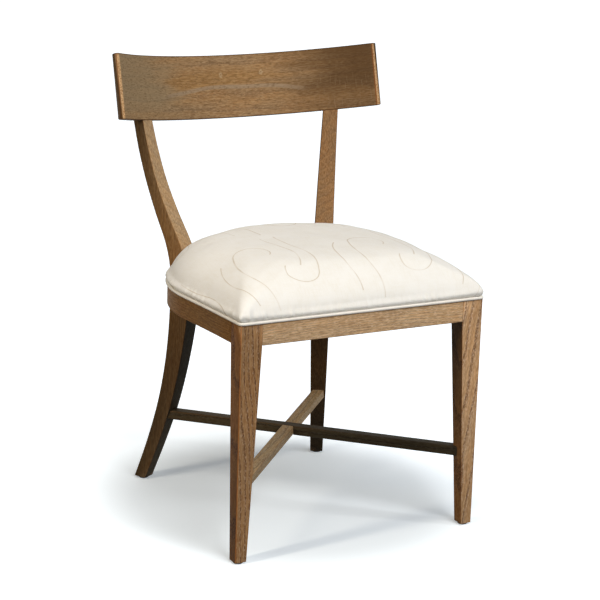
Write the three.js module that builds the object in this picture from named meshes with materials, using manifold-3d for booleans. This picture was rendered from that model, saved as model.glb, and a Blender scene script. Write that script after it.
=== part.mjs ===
// A klismos dining chair: sabre back legs that run up into curved back posts, a deep curved crest
// rail, square tapered front legs, crossed stretchers and an upholstered crowned seat.
// Millimetres, +Z up, +Y towards the back. Left and right are as seen from the front, right being +X.
import * as THREE from 'three';
import { mergeVertices } from 'three/addons/utils/BufferGeometryUtils.js';
import Module from 'manifold-3d';

const wasm = await Module();
wasm.setup();

// Seat frame
const FRONT_WIDTH = 500; // over the outer faces of the front legs
const LEG_HEIGHT = 434; // wooden foot to the top of the seat rails
const RAIL_HEIGHT = 39.5;
const RAIL_THICKNESS = 22;
const SIDE_BOW = 3.5; // how far each side rail swells past the front legs
const SIDE_ARC_Y = 227; // where the side rails turn into their rear arc
const BACK_RAIL_RADIUS = 382;
const LEG_TOP_WIDTH = 43;
const LEG_TOP_DEPTH = 38;
const LEG_FOOT_WIDTH = 22.5;
const LEG_FOOT_DEPTH = 24;
const EDGE_EASE = 1.4; // small flat on every long edge of the wood

// Sabre leg and back post, sawn as one piece from a plank that stands turned in plan
const POST_TURN = THREE.MathUtils.degToRad(29);
const POST_PLACE_TURN = THREE.MathUtils.degToRad(47.9); // round the rear arc of the side rails
const POST_FRONT_REACH = 28.9; // its front corner stands forward of the outside of the rails
const POST_FOOT_SWEEP = 99.3; // foot behind the waist
const POST_TOP_SWEEP = 109.7; // shoulder behind the waist
const POST_FOOT_DEPTH = 26.3;
const POST_WAIST_DEPTH = 44.8;
const POST_SHOULDER_DEPTH = 23.8;
const POST_FOOT_WIDTH = 25.3;
const POST_WAIST_WIDTH = 39.9;
const POST_SHOULDER_WIDTH = 29.3;
const POST_FOOT_LEAN = 2.4; // the outer side leans outwards going up, by this much to the waist
const POST_SHOULDER_LEAN = 4.4; // and by this much from there to the shoulder
const SHOULDER_HEIGHT = 712; // above the wooden foot
const TONGUE_REACH = 84; // post that runs on up behind the crest

// Crest rail, a bent board
const CREST_LEAN = THREE.MathUtils.degToRad(14.4);
const CREST_WIDTH = 562.4;
const CREST_HEIGHT = 123;
const CREST_THICKNESS = 16;
const CREST_RADIUS = 382; // of its front face
const CREST_END_BAND = 8.2; // flat that faces forward at each end
const CREST_RISE = 14.1; // its lower front corners above the shoulders of the posts
const CREST_OVERHANG = 1.3; // its front face stands forward of the posts
const CREST_HOUSING = 4; // how deep the posts are let into its back

// Stretchers
const STRETCHER_WIDTH = 22.6;
const STRETCHER_HEIGHT = 17.8;
const STRETCHER_TOP = 148.7; // above the wooden foot

// Joints
const CLEARANCE = 0.3; // between pieces that touch
const TENON_THICKNESS = 10;
const TENON_HEIGHT = 27;
const TENON_LENGTH = 20;
const POST_TENON_LENGTH = 17;
const TENON_SET_IN = 7; // from the outer face of a rail
const STUB_THICKNESS = 12;
const STUB_HEIGHT = 11;
const STUB_LENGTH = 9;
const CUT_OVERRUN = 12;

// Corner blocks
const BLOCK_HEIGHT = 28;
const BLOCK_DROP = 3; // below the top of the rails
const BLOCK_REACH = 92; // along the front rail
const BLOCK_SIDE_REACH = 72; // along the side rail, behind the front leg
const REAR_BLOCK_X = 45; // where it ends on the back rail
const REAR_BLOCK_TURN = THREE.MathUtils.degToRad(11); // where it ends on the side rail's arc
const REAR_BLOCK_TUCK = THREE.MathUtils.degToRad(44); // where it meets the post

// Seat upholstery, heights above the top of the rails
const CROWN_HEIGHT = 101.4;
const CROWN_POWER = 2.41;
const CROWN_ROUNDNESS = 2.62;
const PILLOW_POWER = 2.44;
const PILLOW_RADIUS = 229.5; // plan of the crown near its top
const CROWN_CENTRE_Y = 215;
const SEAT_CORNER_RADIUS = 12;
const COVER_THICKNESS = 1.6;
const COVER_LIFT = 0.3;
const COVER_EDGE_INSET = 2;
const COVER_WAIST_INSET = 3.4; // the side draws in above the welt
const COVER_WAIST_RISE = 11;
const COVER_SHOULDER_RISE = 18;
const HEM_REACH = 28; // from the outside of the seat to the edge of the hem
const WELT_DIAMETER = 5.6;
const WELT_INSET = 1; // of its middle from the outside of the rails
const BOARD_THICKNESS = 12;
const DUST_COVER_THICKNESS = 0.6;
const NOTCH_CLEARANCE = 1.2; // cushion to post

// Glides, screws and plugs
const GLIDE_HEIGHT = 4;
const GLIDE_RADIUS = 9.5;
const GLIDE_ROUND = 1.2;
const PIN_RADIUS = 1.4;
const PIN_LENGTH = 14;
const SCREW_HEAD_RADIUS = 3.8;
const SCREW_HEAD_HEIGHT = 2.6;
const SCREW_RADIUS = 2;
const SCREW_POINT = 4;
const BLOCK_SCREW_BITE = 13; // into the rail
const BLOCK_SCREW_GRIP = 18; // of the block under the head
const SEAT_SCREW_BITE = 9; // into the board
const SEAT_SCREW_GRIP = 19;
const CREST_SCREW_BITE = 8; // into the crest
const PLUG_RADIUS = 4.6;
const PLUG_DEPTH = 4;
const SCREW_SET_OFF = 6; // two screws in one block pass each other at different heights
const CREST_SCREW_LOW = 22; // above the lower edge of the crest
const CREST_SCREW_PITCH = 38;

// Shares, chosen by hand along the sweep of the sabre leg and post:
// height, sweep and depth between the named ends
const SABRE_SHARES = [[0, 1, 0], [0.2, 0.69, 0.11], [0.4, 0.42, 0.28], [0.6, 0.225, 0.46],
  [0.8, 0.088, 0.72], [1, 0, 1]];
const POST_SHARES = [[0, 0, 1], [0.126, 0.045, 0.84], [0.27, 0.18, 0.63], [0.46, 0.467, 0.35],
  [0.65, 0.711, 0.15], [0.84, 0.886, 0.07], [1, 1, 0]];
const DOME_SHARES = [0.985, 0.945, 0.875, 0.77, 0.62, 0.43, 0.21];
const INNER_DOME_SHARES = [0.96, 0.85, 0.64, 0.32];
const FRONT_BLOCK_SCREW_SHARE = 0.52;
const SIDE_BLOCK_SCREW_SHARE = 0.5;
const SEAT_SCREW_SHARE = 0.36;
const WAIST_TURN_SHARE = 0.62;
const WAIST_SWELL_SHARE = 0.86;

// Counts
const POST_RINGS = 48;
const CREST_STEPS = 30;
const RAIL_STEPS = 18;
const ROUND_SIDES = 14;
const WELT_SIDES = 8;
const EDGE_STEPS = 6;

// Derived places
const FOOT_Z = GLIDE_HEIGHT;
const RAIL_TOP_Z = FOOT_Z + LEG_HEIGHT;
const RAIL_BOTTOM_Z = RAIL_TOP_Z - RAIL_HEIGHT;
const RAIL_MIDDLE_Z = (RAIL_TOP_Z + RAIL_BOTTOM_Z) / 2;
const HALF_WIDTH = FRONT_WIDTH / 2;
const SIDE_RADIUS = HALF_WIDTH + SIDE_BOW;
const POST_OUTER_X = SIDE_RADIUS * Math.cos(POST_PLACE_TURN);
const POST_OUTER_Y = SIDE_ARC_Y + SIDE_RADIUS * Math.sin(POST_PLACE_TURN);
const BACK_ARC_Y = POST_OUTER_Y - Math.sqrt(BACK_RAIL_RADIUS ** 2 - POST_OUTER_X ** 2);
const SHOULDER_Z = FOOT_Z + SHOULDER_HEIGHT;
const WAIST_Z = RAIL_BOTTOM_Z;
const CREST_END_Z = SHOULDER_Z + CREST_RISE;
const CREST_BAND_X = CREST_WIDTH / 2 - CREST_END_BAND;
const CREST_CENTRE_Y = -Math.sqrt(CREST_RADIUS ** 2 - CREST_BAND_X ** 2);
const STRETCHER_TOP_Z = FOOT_Z + STRETCHER_TOP;
const STRETCHER_MIDDLE_Z = STRETCHER_TOP_Z - STRETCHER_HEIGHT / 2;
const COVER_BOTTOM_Z = RAIL_TOP_Z + COVER_LIFT;
const BOARD_BOTTOM_Z = COVER_BOTTOM_Z + COVER_THICKNESS + CLEARANCE;
const BOARD_TOP_Z = BOARD_BOTTOM_Z + BOARD_THICKNESS;
const WELT_RADIUS = WELT_DIAMETER / 2;
const COVER_TUCK_INSET = WELT_INSET + WELT_RADIUS + 2 * CLEARANCE;
const BOARD_INSET = COVER_TUCK_INSET + COVER_THICKNESS + CLEARANCE;
const BLOCK_TOP_Z = RAIL_TOP_Z - BLOCK_DROP;
const BLOCK_BOTTOM_Z = BLOCK_TOP_Z - BLOCK_HEIGHT;
const BLOCK_MIDDLE_Z = (BLOCK_TOP_Z + BLOCK_BOTTOM_Z) / 2;
const HEM_NOTCH = NOTCH_CLEARANCE + HEM_REACH - BOARD_INSET; // hem in front of the posts
const SEAT_SCREW_SET_OFF = HEM_NOTCH + SCREW_HEAD_RADIUS + CLEARANCE;
const BLOCK_SCREW_LENGTH = BLOCK_SCREW_GRIP + BLOCK_SCREW_BITE;
const SEAT_SCREW_LENGTH = SEAT_SCREW_GRIP + BLOCK_DROP + SEAT_SCREW_BITE;
const TONGUE_DEPTH = POST_SHOULDER_DEPTH - (CREST_THICKNESS - CREST_HOUSING - CREST_OVERHANG);
const CREST_SCREW_LENGTH = TONGUE_DEPTH - PLUG_DEPTH + CREST_SCREW_BITE;

// Finishes
const OAK = { color: 0x7a5c41, roughness: 0.62, metalness: 0 };
const BEECH = { color: 0xb08a5c, roughness: 0.7, metalness: 0 };
const PLYWOOD = { color: 0xc2a477, roughness: 0.75, metalness: 0 };
const LINEN = { color: 0xe4dccb, roughness: 0.9, metalness: 0 };
const FOAM = { color: 0xe9dfae, roughness: 0.95, metalness: 0 };
const CAMBRIC = { color: 0x22201f, roughness: 0.95, metalness: 0 };
const BLACK_PLASTIC = { color: 0x161514, roughness: 0.5, metalness: 0 };
const ZINC = { color: 0xa9a7a0, roughness: 0.35, metalness: 0.9 };

const UP = new THREE.Vector3(0, 0, 1);
const WELD_DISTANCE = 1e-4;

// Turns a closed geometry into a solid and back
function toSolid(geometry) {
  const bare = new THREE.BufferGeometry();
  bare.setAttribute('position', geometry.getAttribute('position').clone());
  if (geometry.index) bare.setIndex(geometry.index.clone());
  const merged = mergeVertices(bare, WELD_DISTANCE);
  return new wasm.Manifold(new wasm.Mesh({
    numProp: 3,
    vertProperties: new Float32Array(merged.getAttribute('position').array),
    triVerts: new Uint32Array(merged.index.array),
  }));
}

function toGeometry(solid) {
  const mesh = solid.getMesh();
  const geometry = new THREE.BufferGeometry();
  geometry.setAttribute('position', new THREE.BufferAttribute(new Float32Array(mesh.vertProperties), 3));
  geometry.setIndex(new THREE.BufferAttribute(new Uint32Array(mesh.triVerts), 1));
  return geometry;
}

function mirrored(geometry) {
  const copy = geometry.clone();
  copy.applyMatrix4(new THREE.Matrix4().makeScale(-1, 1, 1));
  const index = copy.index.array;
  for (let i = 0; i < index.length; i += 3) {
    [index[i], index[i + 1]] = [index[i + 1], index[i]];
  }
  return copy;
}

// The same solid on the other side of the chair
function twin(solid) {
  return toSolid(mirrored(toGeometry(solid)));
}

function both(solid) {
  return solid.add(twin(solid));
}

// A closed body through rings of equal count, each a list of Vector3, capped at both ends
function loft(rings) {
  const count = rings[0].length;
  const positions = rings.flat().flatMap((p) => [p.x, p.y, p.z]);
  const index = [];
  for (let r = 0; r + 1 < rings.length; r += 1) {
    for (let i = 0; i < count; i += 1) {
      const a = r * count + i;
      const b = r * count + ((i + 1) % count);
      index.push(a, b, b + count, a, b + count, a + count);
    }
  }
  const flat = (ring) => ring.map((p) => new THREE.Vector2(p.x, p.y));
  const top = (rings.length - 1) * count;
  for (const [a, b, c] of THREE.ShapeUtils.triangulateShape(flat(rings[0]), [])) index.push(c, b, a);
  for (const [a, b, c] of THREE.ShapeUtils.triangulateShape(flat(rings[rings.length - 1]), [])) {
    index.push(top + a, top + b, top + c);
  }
  const geometry = new THREE.BufferGeometry();
  geometry.setAttribute('position', new THREE.Float32BufferAttribute(positions, 3));
  geometry.setIndex(index);
  return geometry;
}

function boxBetween(x0, x1, y0, y1, z0, z1) {
  const box = new THREE.BoxGeometry(x1 - x0, y1 - y0, z1 - z0);
  return box.translate((x0 + x1) / 2, (y0 + y1) / 2, (z0 + z1) / 2);
}

// A box centred on a point, its long side along a direction in plan
function boxAlong(x, y, z, turn, length, thickness, height) {
  const box = new THREE.BoxGeometry(length, thickness, height);
  return box.rotateZ(turn).translate(x, y, z);
}

function prism(points, z0, z1) {
  return loft([z0, z1].map((z) => points.map((p) => new THREE.Vector3(p.x, p.y, z))));
}

// Hermite curve through rows of shares, read at a share of height
function through(rows, at, column) {
  let i = 0;
  while (i + 2 < rows.length && rows[i + 1][0] < at) i += 1;
  const slope = (k) => {
    const before = rows[Math.max(k - 1, 0)];
    const after = rows[Math.min(k + 1, rows.length - 1)];
    return (after[column] - before[column]) / (after[0] - before[0]);
  };
  const span = rows[i + 1][0] - rows[i][0];
  const t = (at - rows[i][0]) / span;
  const from = rows[i][column];
  const to = rows[i + 1][column];
  return from * (1 + 2 * t) * (1 - t) ** 2 + slope(i) * span * t * (1 - t) ** 2
    + to * t * t * (3 - 2 * t) + slope(i + 1) * span * t * t * (t - 1);
}

// Rectangle with its corners taken off, anticlockwise from above
function easedRectangle(x0, x1, y0, y1, z, ease) {
  const corners = [[x0 + ease, y0], [x1 - ease, y0], [x1, y0 + ease], [x1, y1 - ease],
    [x1 - ease, y1], [x0 + ease, y1], [x0, y1 - ease], [x0, y0 + ease]];
  return corners.map(([x, y]) => new THREE.Vector3(x, y, z));
}

// Front legs: outer faces upright, inner faces tapering below the rail
function frontLegBody(grow) {
  const ring = (z, width, depth) => easedRectangle(HALF_WIDTH - width - grow, HALF_WIDTH + grow,
    -grow, depth + grow, z, EDGE_EASE);
  return toSolid(loft([
    ring(FOOT_Z, LEG_FOOT_WIDTH, LEG_FOOT_DEPTH),
    ring(RAIL_BOTTOM_Z, LEG_TOP_WIDTH, LEG_TOP_DEPTH),
    ring(RAIL_TOP_Z, LEG_TOP_WIDTH, LEG_TOP_DEPTH),
  ]));
}

// Plan directions of the right post: along its depth, and across it towards the middle
const POST_BACK = new THREE.Vector2(Math.sin(POST_TURN), Math.cos(POST_TURN));
const POST_IN = new THREE.Vector2(-Math.cos(POST_TURN), Math.sin(POST_TURN));
const POST_CORNER = new THREE.Vector2(POST_OUTER_X, POST_OUTER_Y).addScaledVector(POST_BACK, -POST_FRONT_REACH);

function onPost(back, inward, z) {
  const plan = POST_CORNER.clone().addScaledVector(POST_BACK, back).addScaledVector(POST_IN, inward);
  return new THREE.Vector3(plan.x, plan.y, z);
}

function postSection(z) {
  const mix = THREE.MathUtils.lerp;
  if (z < WAIST_Z) {
    const at = (z - FOOT_Z) / (WAIST_Z - FOOT_Z);
    return {
      front: POST_FOOT_SWEEP * through(SABRE_SHARES, at, 1),
      depth: mix(POST_FOOT_DEPTH, POST_WAIST_DEPTH, through(SABRE_SHARES, at, 2)),
      width: mix(POST_FOOT_WIDTH, POST_WAIST_WIDTH, at),
      lean: POST_FOOT_LEAN * (at - 1),
    };
  }
  const at = Math.min((z - WAIST_Z) / (SHOULDER_Z - WAIST_Z), 1);
  const tongue = Math.max(z - SHOULDER_Z, 0) * Math.tan(CREST_LEAN);
  return {
    front: POST_TOP_SWEEP * through(POST_SHARES, at, 1) + tongue,
    depth: mix(POST_SHOULDER_DEPTH, POST_WAIST_DEPTH, through(POST_SHARES, at, 2)),
    width: mix(POST_WAIST_WIDTH, POST_SHOULDER_WIDTH, at),
    lean: POST_SHOULDER_LEAN * at,
  };
}

// A point of the right post: back from its front face, and in from its outer side, as shares
function postPoint(z, backShare, inShare) {
  const section = postSection(z);
  return onPost(section.front + section.depth * backShare, section.width * inShare - section.lean, z);
}

function postRing(z, grow) {
  const section = postSection(z);
  const front = section.front - grow;
  const back = section.front + section.depth + grow;
  const outer = -section.lean - grow;
  const inner = section.width - section.lean + grow;
  return easedRectangle(front, back, outer, inner, z, EDGE_EASE).map((p) => onPost(p.x, p.y, z));
}

function postBody(grow) {
  const top = SHOULDER_Z + TONGUE_REACH;
  const rings = [];
  for (let i = 0; i <= POST_RINGS; i += 1) {
    rings.push(postRing(THREE.MathUtils.lerp(FOOT_Z, top, i / POST_RINGS), grow));
  }
  return toSolid(loft(rings));
}

// Crest rail, drawn flat in its own plane and then leaned back against the shoulders of the posts
function crestEndY() {
  const shoulder = postPoint(SHOULDER_Z, 0, 0.5);
  const reach = Math.sqrt((CREST_RADIUS + CREST_OVERHANG) ** 2 - shoulder.x ** 2);
  const level = CREST_CENTRE_Y + reach;
  return shoulder.y - (level + (SHOULDER_Z - CREST_END_Z) * Math.sin(CREST_LEAN)) / Math.cos(CREST_LEAN);
}

const CREST_END_Y = crestEndY();
const CREST_PLACE = new THREE.Matrix4().makeTranslation(0, CREST_END_Y, CREST_END_Z)
  .multiply(new THREE.Matrix4().makeRotationX(-CREST_LEAN));

function crestBand(inner, outer, z0, z1) {
  const shape = new THREE.Shape();
  const turn = Math.asin(CREST_BAND_X / CREST_RADIUS);
  const quarter = Math.PI / 2;
  shape.absarc(0, CREST_CENTRE_Y, inner, quarter + turn, quarter - turn, true);
  shape.absarc(0, CREST_CENTRE_Y, outer, quarter - turn, quarter + turn, false);
  const options = { depth: z1 - z0, bevelEnabled: false, curveSegments: CREST_STEPS };
  const band = new THREE.ExtrudeGeometry(shape, options);
  return toSolid(band.translate(0, 0, z0).applyMatrix4(CREST_PLACE));
}

function crestBody() {
  const half = CREST_WIDTH / 2;
  const back = CREST_RADIUS + CREST_THICKNESS;
  const frontTurn = Math.asin(CREST_BAND_X / CREST_RADIUS);
  const backTurn = Math.asin(half / back);
  const quarter = Math.PI / 2;
  const shape = new THREE.Shape();
  shape.moveTo(-half, 0);
  shape.lineTo(-CREST_BAND_X, 0);
  shape.absarc(0, CREST_CENTRE_Y, CREST_RADIUS, quarter + frontTurn, quarter - frontTurn, true);
  shape.lineTo(half, 0);
  shape.absarc(0, CREST_CENTRE_Y, back, quarter - backTurn, quarter + backTurn, false);
  const board = new THREE.ExtrudeGeometry(shape, {
    depth: CREST_HEIGHT - 2 * EDGE_EASE,
    bevelThickness: EDGE_EASE,
    bevelSize: EDGE_EASE,
    bevelOffset: -EDGE_EASE,
    bevelSegments: 1,
    curveSegments: CREST_STEPS,
  });
  return toSolid(board.translate(0, 0, EDGE_EASE).applyMatrix4(CREST_PLACE));
}

// Plan of the seat, drawn in from the outside by an inset, anticlockwise from the front left corner
function arcPoints(x, y, radius, from, to, steps) {
  const points = [];
  for (let i = 0; i <= steps; i += 1) {
    const turn = THREE.MathUtils.lerp(from, to, i / steps);
    points.push(new THREE.Vector2(x + radius * Math.cos(turn), y + radius * Math.sin(turn)));
  }
  return points;
}

// Side of the seat from the front corner back to the start of the rear arc
function sideCurve(inset, startY) {
  const swellY = SIDE_ARC_Y * WAIST_SWELL_SHARE;
  return new THREE.CubicBezierCurve(
    new THREE.Vector2(HALF_WIDTH - inset, startY),
    new THREE.Vector2(HALF_WIDTH - inset, Math.max(startY, SIDE_ARC_Y * WAIST_TURN_SHARE)),
    new THREE.Vector2(SIDE_RADIUS - inset, swellY),
    new THREE.Vector2(SIDE_RADIUS - inset, SIDE_ARC_Y),
  ).getPoints(EDGE_STEPS);
}

// Turn of the side arc, and of the back arc, at the corner where they meet
function rearCorner(inset) {
  const side = SIDE_RADIUS - inset;
  const back = BACK_RAIL_RADIUS - inset;
  const between = SIDE_ARC_Y - BACK_ARC_Y;
  const along = (back ** 2 - side ** 2 + between ** 2) / (2 * between);
  const x = Math.sqrt(back ** 2 - along ** 2);
  return { side: Math.atan2(along - between, x), back: Math.atan2(along, x) };
}

function seatOutline(inset) {
  const radius = SEAT_CORNER_RADIUS;
  const corner = rearCorner(inset);
  const half = [];
  for (let i = 0; i < EDGE_STEPS; i += 1) {
    half.push(new THREE.Vector2(((HALF_WIDTH - inset - radius) * i) / EDGE_STEPS, inset));
  }
  half.push(...arcPoints(HALF_WIDTH - inset - radius, inset + radius, radius, -Math.PI / 2, 0, 3));
  half.push(...sideCurve(inset, inset + radius).slice(1));
  const backRadius = BACK_RAIL_RADIUS - inset;
  half.push(...arcPoints(0, SIDE_ARC_Y, SIDE_RADIUS - inset, 0, corner.side, EDGE_STEPS).slice(1));
  half.push(...arcPoints(0, BACK_ARC_Y, backRadius, corner.back, Math.PI / 2, EDGE_STEPS).slice(1));
  const other = half.slice(1, -1).reverse().map((p) => new THREE.Vector2(-p.x, p.y));
  return [...half, ...other];
}

// Seat rails
function bevelledPlan(points, z0, z1) {
  const board = new THREE.ExtrudeGeometry(new THREE.Shape(points), {
    depth: z1 - z0 - 2 * EDGE_EASE,
    bevelThickness: EDGE_EASE,
    bevelSize: EDGE_EASE,
    bevelOffset: -EDGE_EASE,
    bevelSegments: 1,
  });
  return toSolid(board.translate(0, 0, z0 + EDGE_EASE));
}

const TENON_LOW_Z = RAIL_MIDDLE_Z - TENON_HEIGHT / 2;
const TENON_HIGH_Z = RAIL_MIDDLE_Z + TENON_HEIGHT / 2;
const LEG_INNER_X = HALF_WIDTH - LEG_TOP_WIDTH;

function frontRailTenon(grow) {
  const root = LEG_INNER_X - CUT_OVERRUN;
  return toSolid(boxBetween(root, LEG_INNER_X + TENON_LENGTH + grow, TENON_SET_IN - grow,
    TENON_SET_IN + TENON_THICKNESS + grow, TENON_LOW_Z - grow, TENON_HIGH_Z + grow));
}

function sideRailTenon(grow) {
  const outer = HALF_WIDTH - TENON_SET_IN;
  return toSolid(boxBetween(outer - TENON_THICKNESS - grow, outer + grow, LEG_TOP_DEPTH - TENON_LENGTH - grow,
    LEG_TOP_DEPTH + CUT_OVERRUN, TENON_LOW_Z - grow, TENON_HIGH_Z + grow));
}

// How far along the post's side a rail's middle line meets it
function postMeeting(centreY, radius, inward) {
  const from = POST_CORNER.clone().addScaledVector(POST_IN, inward).sub(new THREE.Vector2(0, centreY));
  const along = from.dot(POST_BACK);
  return -along + Math.sqrt(along ** 2 - from.lengthSq() + radius ** 2);
}

// A tenon square to the post's side, reaching in from its outer or its inner face
function postTenon(centreY, radius, inward, towards, grow) {
  const back = postMeeting(centreY, radius, inward);
  const middle = inward + (towards * (POST_TENON_LENGTH - CUT_OVERRUN)) / 2;
  const at = POST_CORNER.clone().addScaledVector(POST_BACK, back).addScaledVector(POST_IN, middle);
  const length = POST_TENON_LENGTH + CUT_OVERRUN + 2 * grow;
  const thickness = TENON_THICKNESS + 2 * grow;
  return toSolid(boxAlong(at.x, at.y, RAIL_MIDDLE_Z, -POST_TURN, length, thickness, TENON_HEIGHT + 2 * grow));
}

const SIDE_RAIL_MIDDLE = SIDE_RADIUS - RAIL_THICKNESS / 2;
const BACK_RAIL_MIDDLE = BACK_RAIL_RADIUS - RAIL_THICKNESS / 2;
const sideToPostTenon = (grow) => postTenon(SIDE_ARC_Y, SIDE_RAIL_MIDDLE, 0, 1, grow);
const backToPostTenon = (grow) => postTenon(BACK_ARC_Y, BACK_RAIL_MIDDLE, POST_WAIST_WIDTH, -1, grow);

function frontRail() {
  const reach = LEG_INNER_X - CLEARANCE;
  const plan = [[-reach, 0], [reach, 0], [reach, RAIL_THICKNESS], [-reach, RAIL_THICKNESS]];
  const rail = bevelledPlan(plan.map(([x, y]) => new THREE.Vector2(x, y)), RAIL_BOTTOM_Z, RAIL_TOP_Z);
  return rail.add(both(frontRailTenon(0)));
}

// Turn at which a rail ends inside the post, on its way round its own arc
function postTurn(centreY, radius, inward) {
  const back = postMeeting(centreY, radius, inward);
  const end = POST_CORNER.clone().addScaledVector(POST_BACK, back).addScaledVector(POST_IN, inward);
  return Math.atan2(end.y - centreY, end.x);
}

function sideRail(post) {
  const start = LEG_TOP_DEPTH + CLEARANCE;
  const end = postTurn(SIDE_ARC_Y, SIDE_RAIL_MIDDLE, POST_WAIST_WIDTH / 2);
  const outer = [...sideCurve(0, start), ...arcPoints(0, SIDE_ARC_Y, SIDE_RADIUS, 0, end, RAIL_STEPS).slice(1)];
  const inner = [...sideCurve(RAIL_THICKNESS, start),
    ...arcPoints(0, SIDE_ARC_Y, SIDE_RADIUS - RAIL_THICKNESS, 0, end, RAIL_STEPS).slice(1)];
  const rail = bevelledPlan([...outer, ...inner.reverse()], RAIL_BOTTOM_Z, RAIL_TOP_Z);
  return rail.subtract(post).add(sideRailTenon(0)).add(sideToPostTenon(0));
}

function backRail(posts) {
  const turn = postTurn(BACK_ARC_Y, BACK_RAIL_MIDDLE, POST_WAIST_WIDTH / 2);
  const outer = arcPoints(0, BACK_ARC_Y, BACK_RAIL_RADIUS, turn, Math.PI - turn, RAIL_STEPS);
  const inner = arcPoints(0, BACK_ARC_Y, BACK_RAIL_RADIUS - RAIL_THICKNESS, turn, Math.PI - turn, RAIL_STEPS);
  const rail = bevelledPlan([...outer, ...inner.reverse()], RAIL_BOTTOM_Z, RAIL_TOP_Z);
  return rail.subtract(posts).add(both(backToPostTenon(0)));
}

// Stretchers, each from a front leg to the post across from it, half-lapped where they cross
const STRETCHER_LEG_SHARE = (STRETCHER_MIDDLE_Z - FOOT_Z) / (RAIL_BOTTOM_Z - FOOT_Z);
const STRETCHER_LEG_WIDTH = THREE.MathUtils.lerp(LEG_FOOT_WIDTH, LEG_TOP_WIDTH, STRETCHER_LEG_SHARE);
const STRETCHER_LEG_DEPTH = THREE.MathUtils.lerp(LEG_FOOT_DEPTH, LEG_TOP_DEPTH, STRETCHER_LEG_SHARE);
const STRETCHER_FRONT = new THREE.Vector2(STRETCHER_LEG_WIDTH / 2 - HALF_WIDTH, STRETCHER_LEG_DEPTH / 2);
const STRETCHER_REAR = postPoint(STRETCHER_MIDDLE_Z, 0, 0.5);
const STRETCHER_DIRECTION = new THREE.Vector2(STRETCHER_REAR.x, STRETCHER_REAR.y)
  .sub(STRETCHER_FRONT).normalize();
const STRETCHER_TURN = STRETCHER_DIRECTION.angle();
const STRETCHER_CROSS_Y = STRETCHER_FRONT.y - STRETCHER_FRONT.x * Math.tan(STRETCHER_TURN);

// Distances from the crossing to the face of the post and to the inner face of the leg
function stretcherPostReach() {
  return STRETCHER_REAR.x / STRETCHER_DIRECTION.x;
}

function stretcherLegReach() {
  return (HALF_WIDTH - STRETCHER_LEG_WIDTH) / STRETCHER_DIRECTION.x;
}

function stretcherStubs(grow) {
  const postReach = stretcherPostReach();
  const legReach = stretcherLegReach();
  return [postReach, -legReach].map((reach) => {
    const middle = reach + (Math.sign(reach) * (STUB_LENGTH - CUT_OVERRUN)) / 2;
    return toSolid(boxAlong(STRETCHER_DIRECTION.x * middle, STRETCHER_CROSS_Y + STRETCHER_DIRECTION.y * middle,
      STRETCHER_MIDDLE_Z, STRETCHER_TURN, STUB_LENGTH + CUT_OVERRUN + 2 * grow, STUB_THICKNESS + 2 * grow,
      STUB_HEIGHT + 2 * grow));
  });
}

// The bar is lofted along its own length and then laid level along its direction
function stretcherBar() {
  const half = STRETCHER_WIDTH / 2;
  const tall = STRETCHER_HEIGHT / 2;
  const ring = (reach) => easedRectangle(-half, half, -tall, tall, reach, EDGE_EASE);
  const legEnd = -stretcherLegReach() - STRETCHER_WIDTH / 2;
  const postEnd = stretcherPostReach() + STRETCHER_WIDTH / 3;
  const bar = loft([ring(legEnd), ring(postEnd)]);
  const along = new THREE.Vector3(STRETCHER_DIRECTION.x, STRETCHER_DIRECTION.y, 0);
  const across = new THREE.Vector3(-along.y, along.x, 0);
  bar.applyMatrix4(new THREE.Matrix4().makeBasis(across, UP, along));
  return toSolid(bar.translate(0, STRETCHER_CROSS_Y, STRETCHER_MIDDLE_Z));
}

// The lap: one bar keeps its top, the other its bottom
function lapCutter(keepTop) {
  const z0 = keepTop ? STRETCHER_TOP_Z - STRETCHER_HEIGHT - CUT_OVERRUN : STRETCHER_MIDDLE_Z - CLEARANCE / 2;
  const z1 = keepTop ? STRETCHER_MIDDLE_Z + CLEARANCE / 2 : STRETCHER_TOP_Z + CUT_OVERRUN;
  const width = STRETCHER_WIDTH + 2 * CLEARANCE;
  const length = 3 * STRETCHER_WIDTH;
  const turn = Math.PI - STRETCHER_TURN;
  return toSolid(boxAlong(0, STRETCHER_CROSS_Y, (z0 + z1) / 2, turn, length, width, z1 - z0));
}

function stretcher(keepTop, legBody, post) {
  const bar = stretcherBar();
  const [postStub, legStub] = stretcherStubs(0);
  return bar.subtract(legBody).subtract(post).add(postStub).add(legStub).subtract(lapCutter(keepTop));
}

// Round pieces turned on the Z axis, head down, and then aimed
function turned(profile) {
  return new THREE.LatheGeometry(profile.map(([r, z]) => new THREE.Vector2(r, z)), ROUND_SIDES);
}

function aimed(geometry, at, direction) {
  const axis = new THREE.Vector3(0, 1, 0);
  const turn = new THREE.Quaternion().setFromUnitVectors(axis, direction.clone().normalize());
  return toSolid(geometry.applyQuaternion(turn).translate(at.x, at.y, at.z));
}

// A countersunk screw whose head face lies at the origin and whose point lies along +Y
function screwShape(length, grow) {
  const neck = SCREW_HEAD_HEIGHT + grow;
  return turned([[0, -grow], [SCREW_HEAD_RADIUS + grow, -grow], [SCREW_HEAD_RADIUS + grow, 0],
    [SCREW_RADIUS + grow, neck], [SCREW_RADIUS + grow, length - SCREW_POINT + grow], [0, length + grow]]);
}

function boreShape(radius, length) {
  return turned([[0, 0], [radius, 0], [radius, length], [0, length]]);
}

function plugShape() {
  return turned([[0, 0], [PLUG_RADIUS, 0], [PLUG_RADIUS, PLUG_DEPTH - CLEARANCE], [0, PLUG_DEPTH - CLEARANCE]]);
}

function glideShape() {
  const pinTop = GLIDE_HEIGHT + PIN_LENGTH;
  return turned([[0, 0], [GLIDE_RADIUS - GLIDE_ROUND, 0], [GLIDE_RADIUS, GLIDE_ROUND],
    [GLIDE_RADIUS, GLIDE_HEIGHT], [PIN_RADIUS, GLIDE_HEIGHT], [PIN_RADIUS, pinTop], [0, pinTop]]);
}

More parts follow.
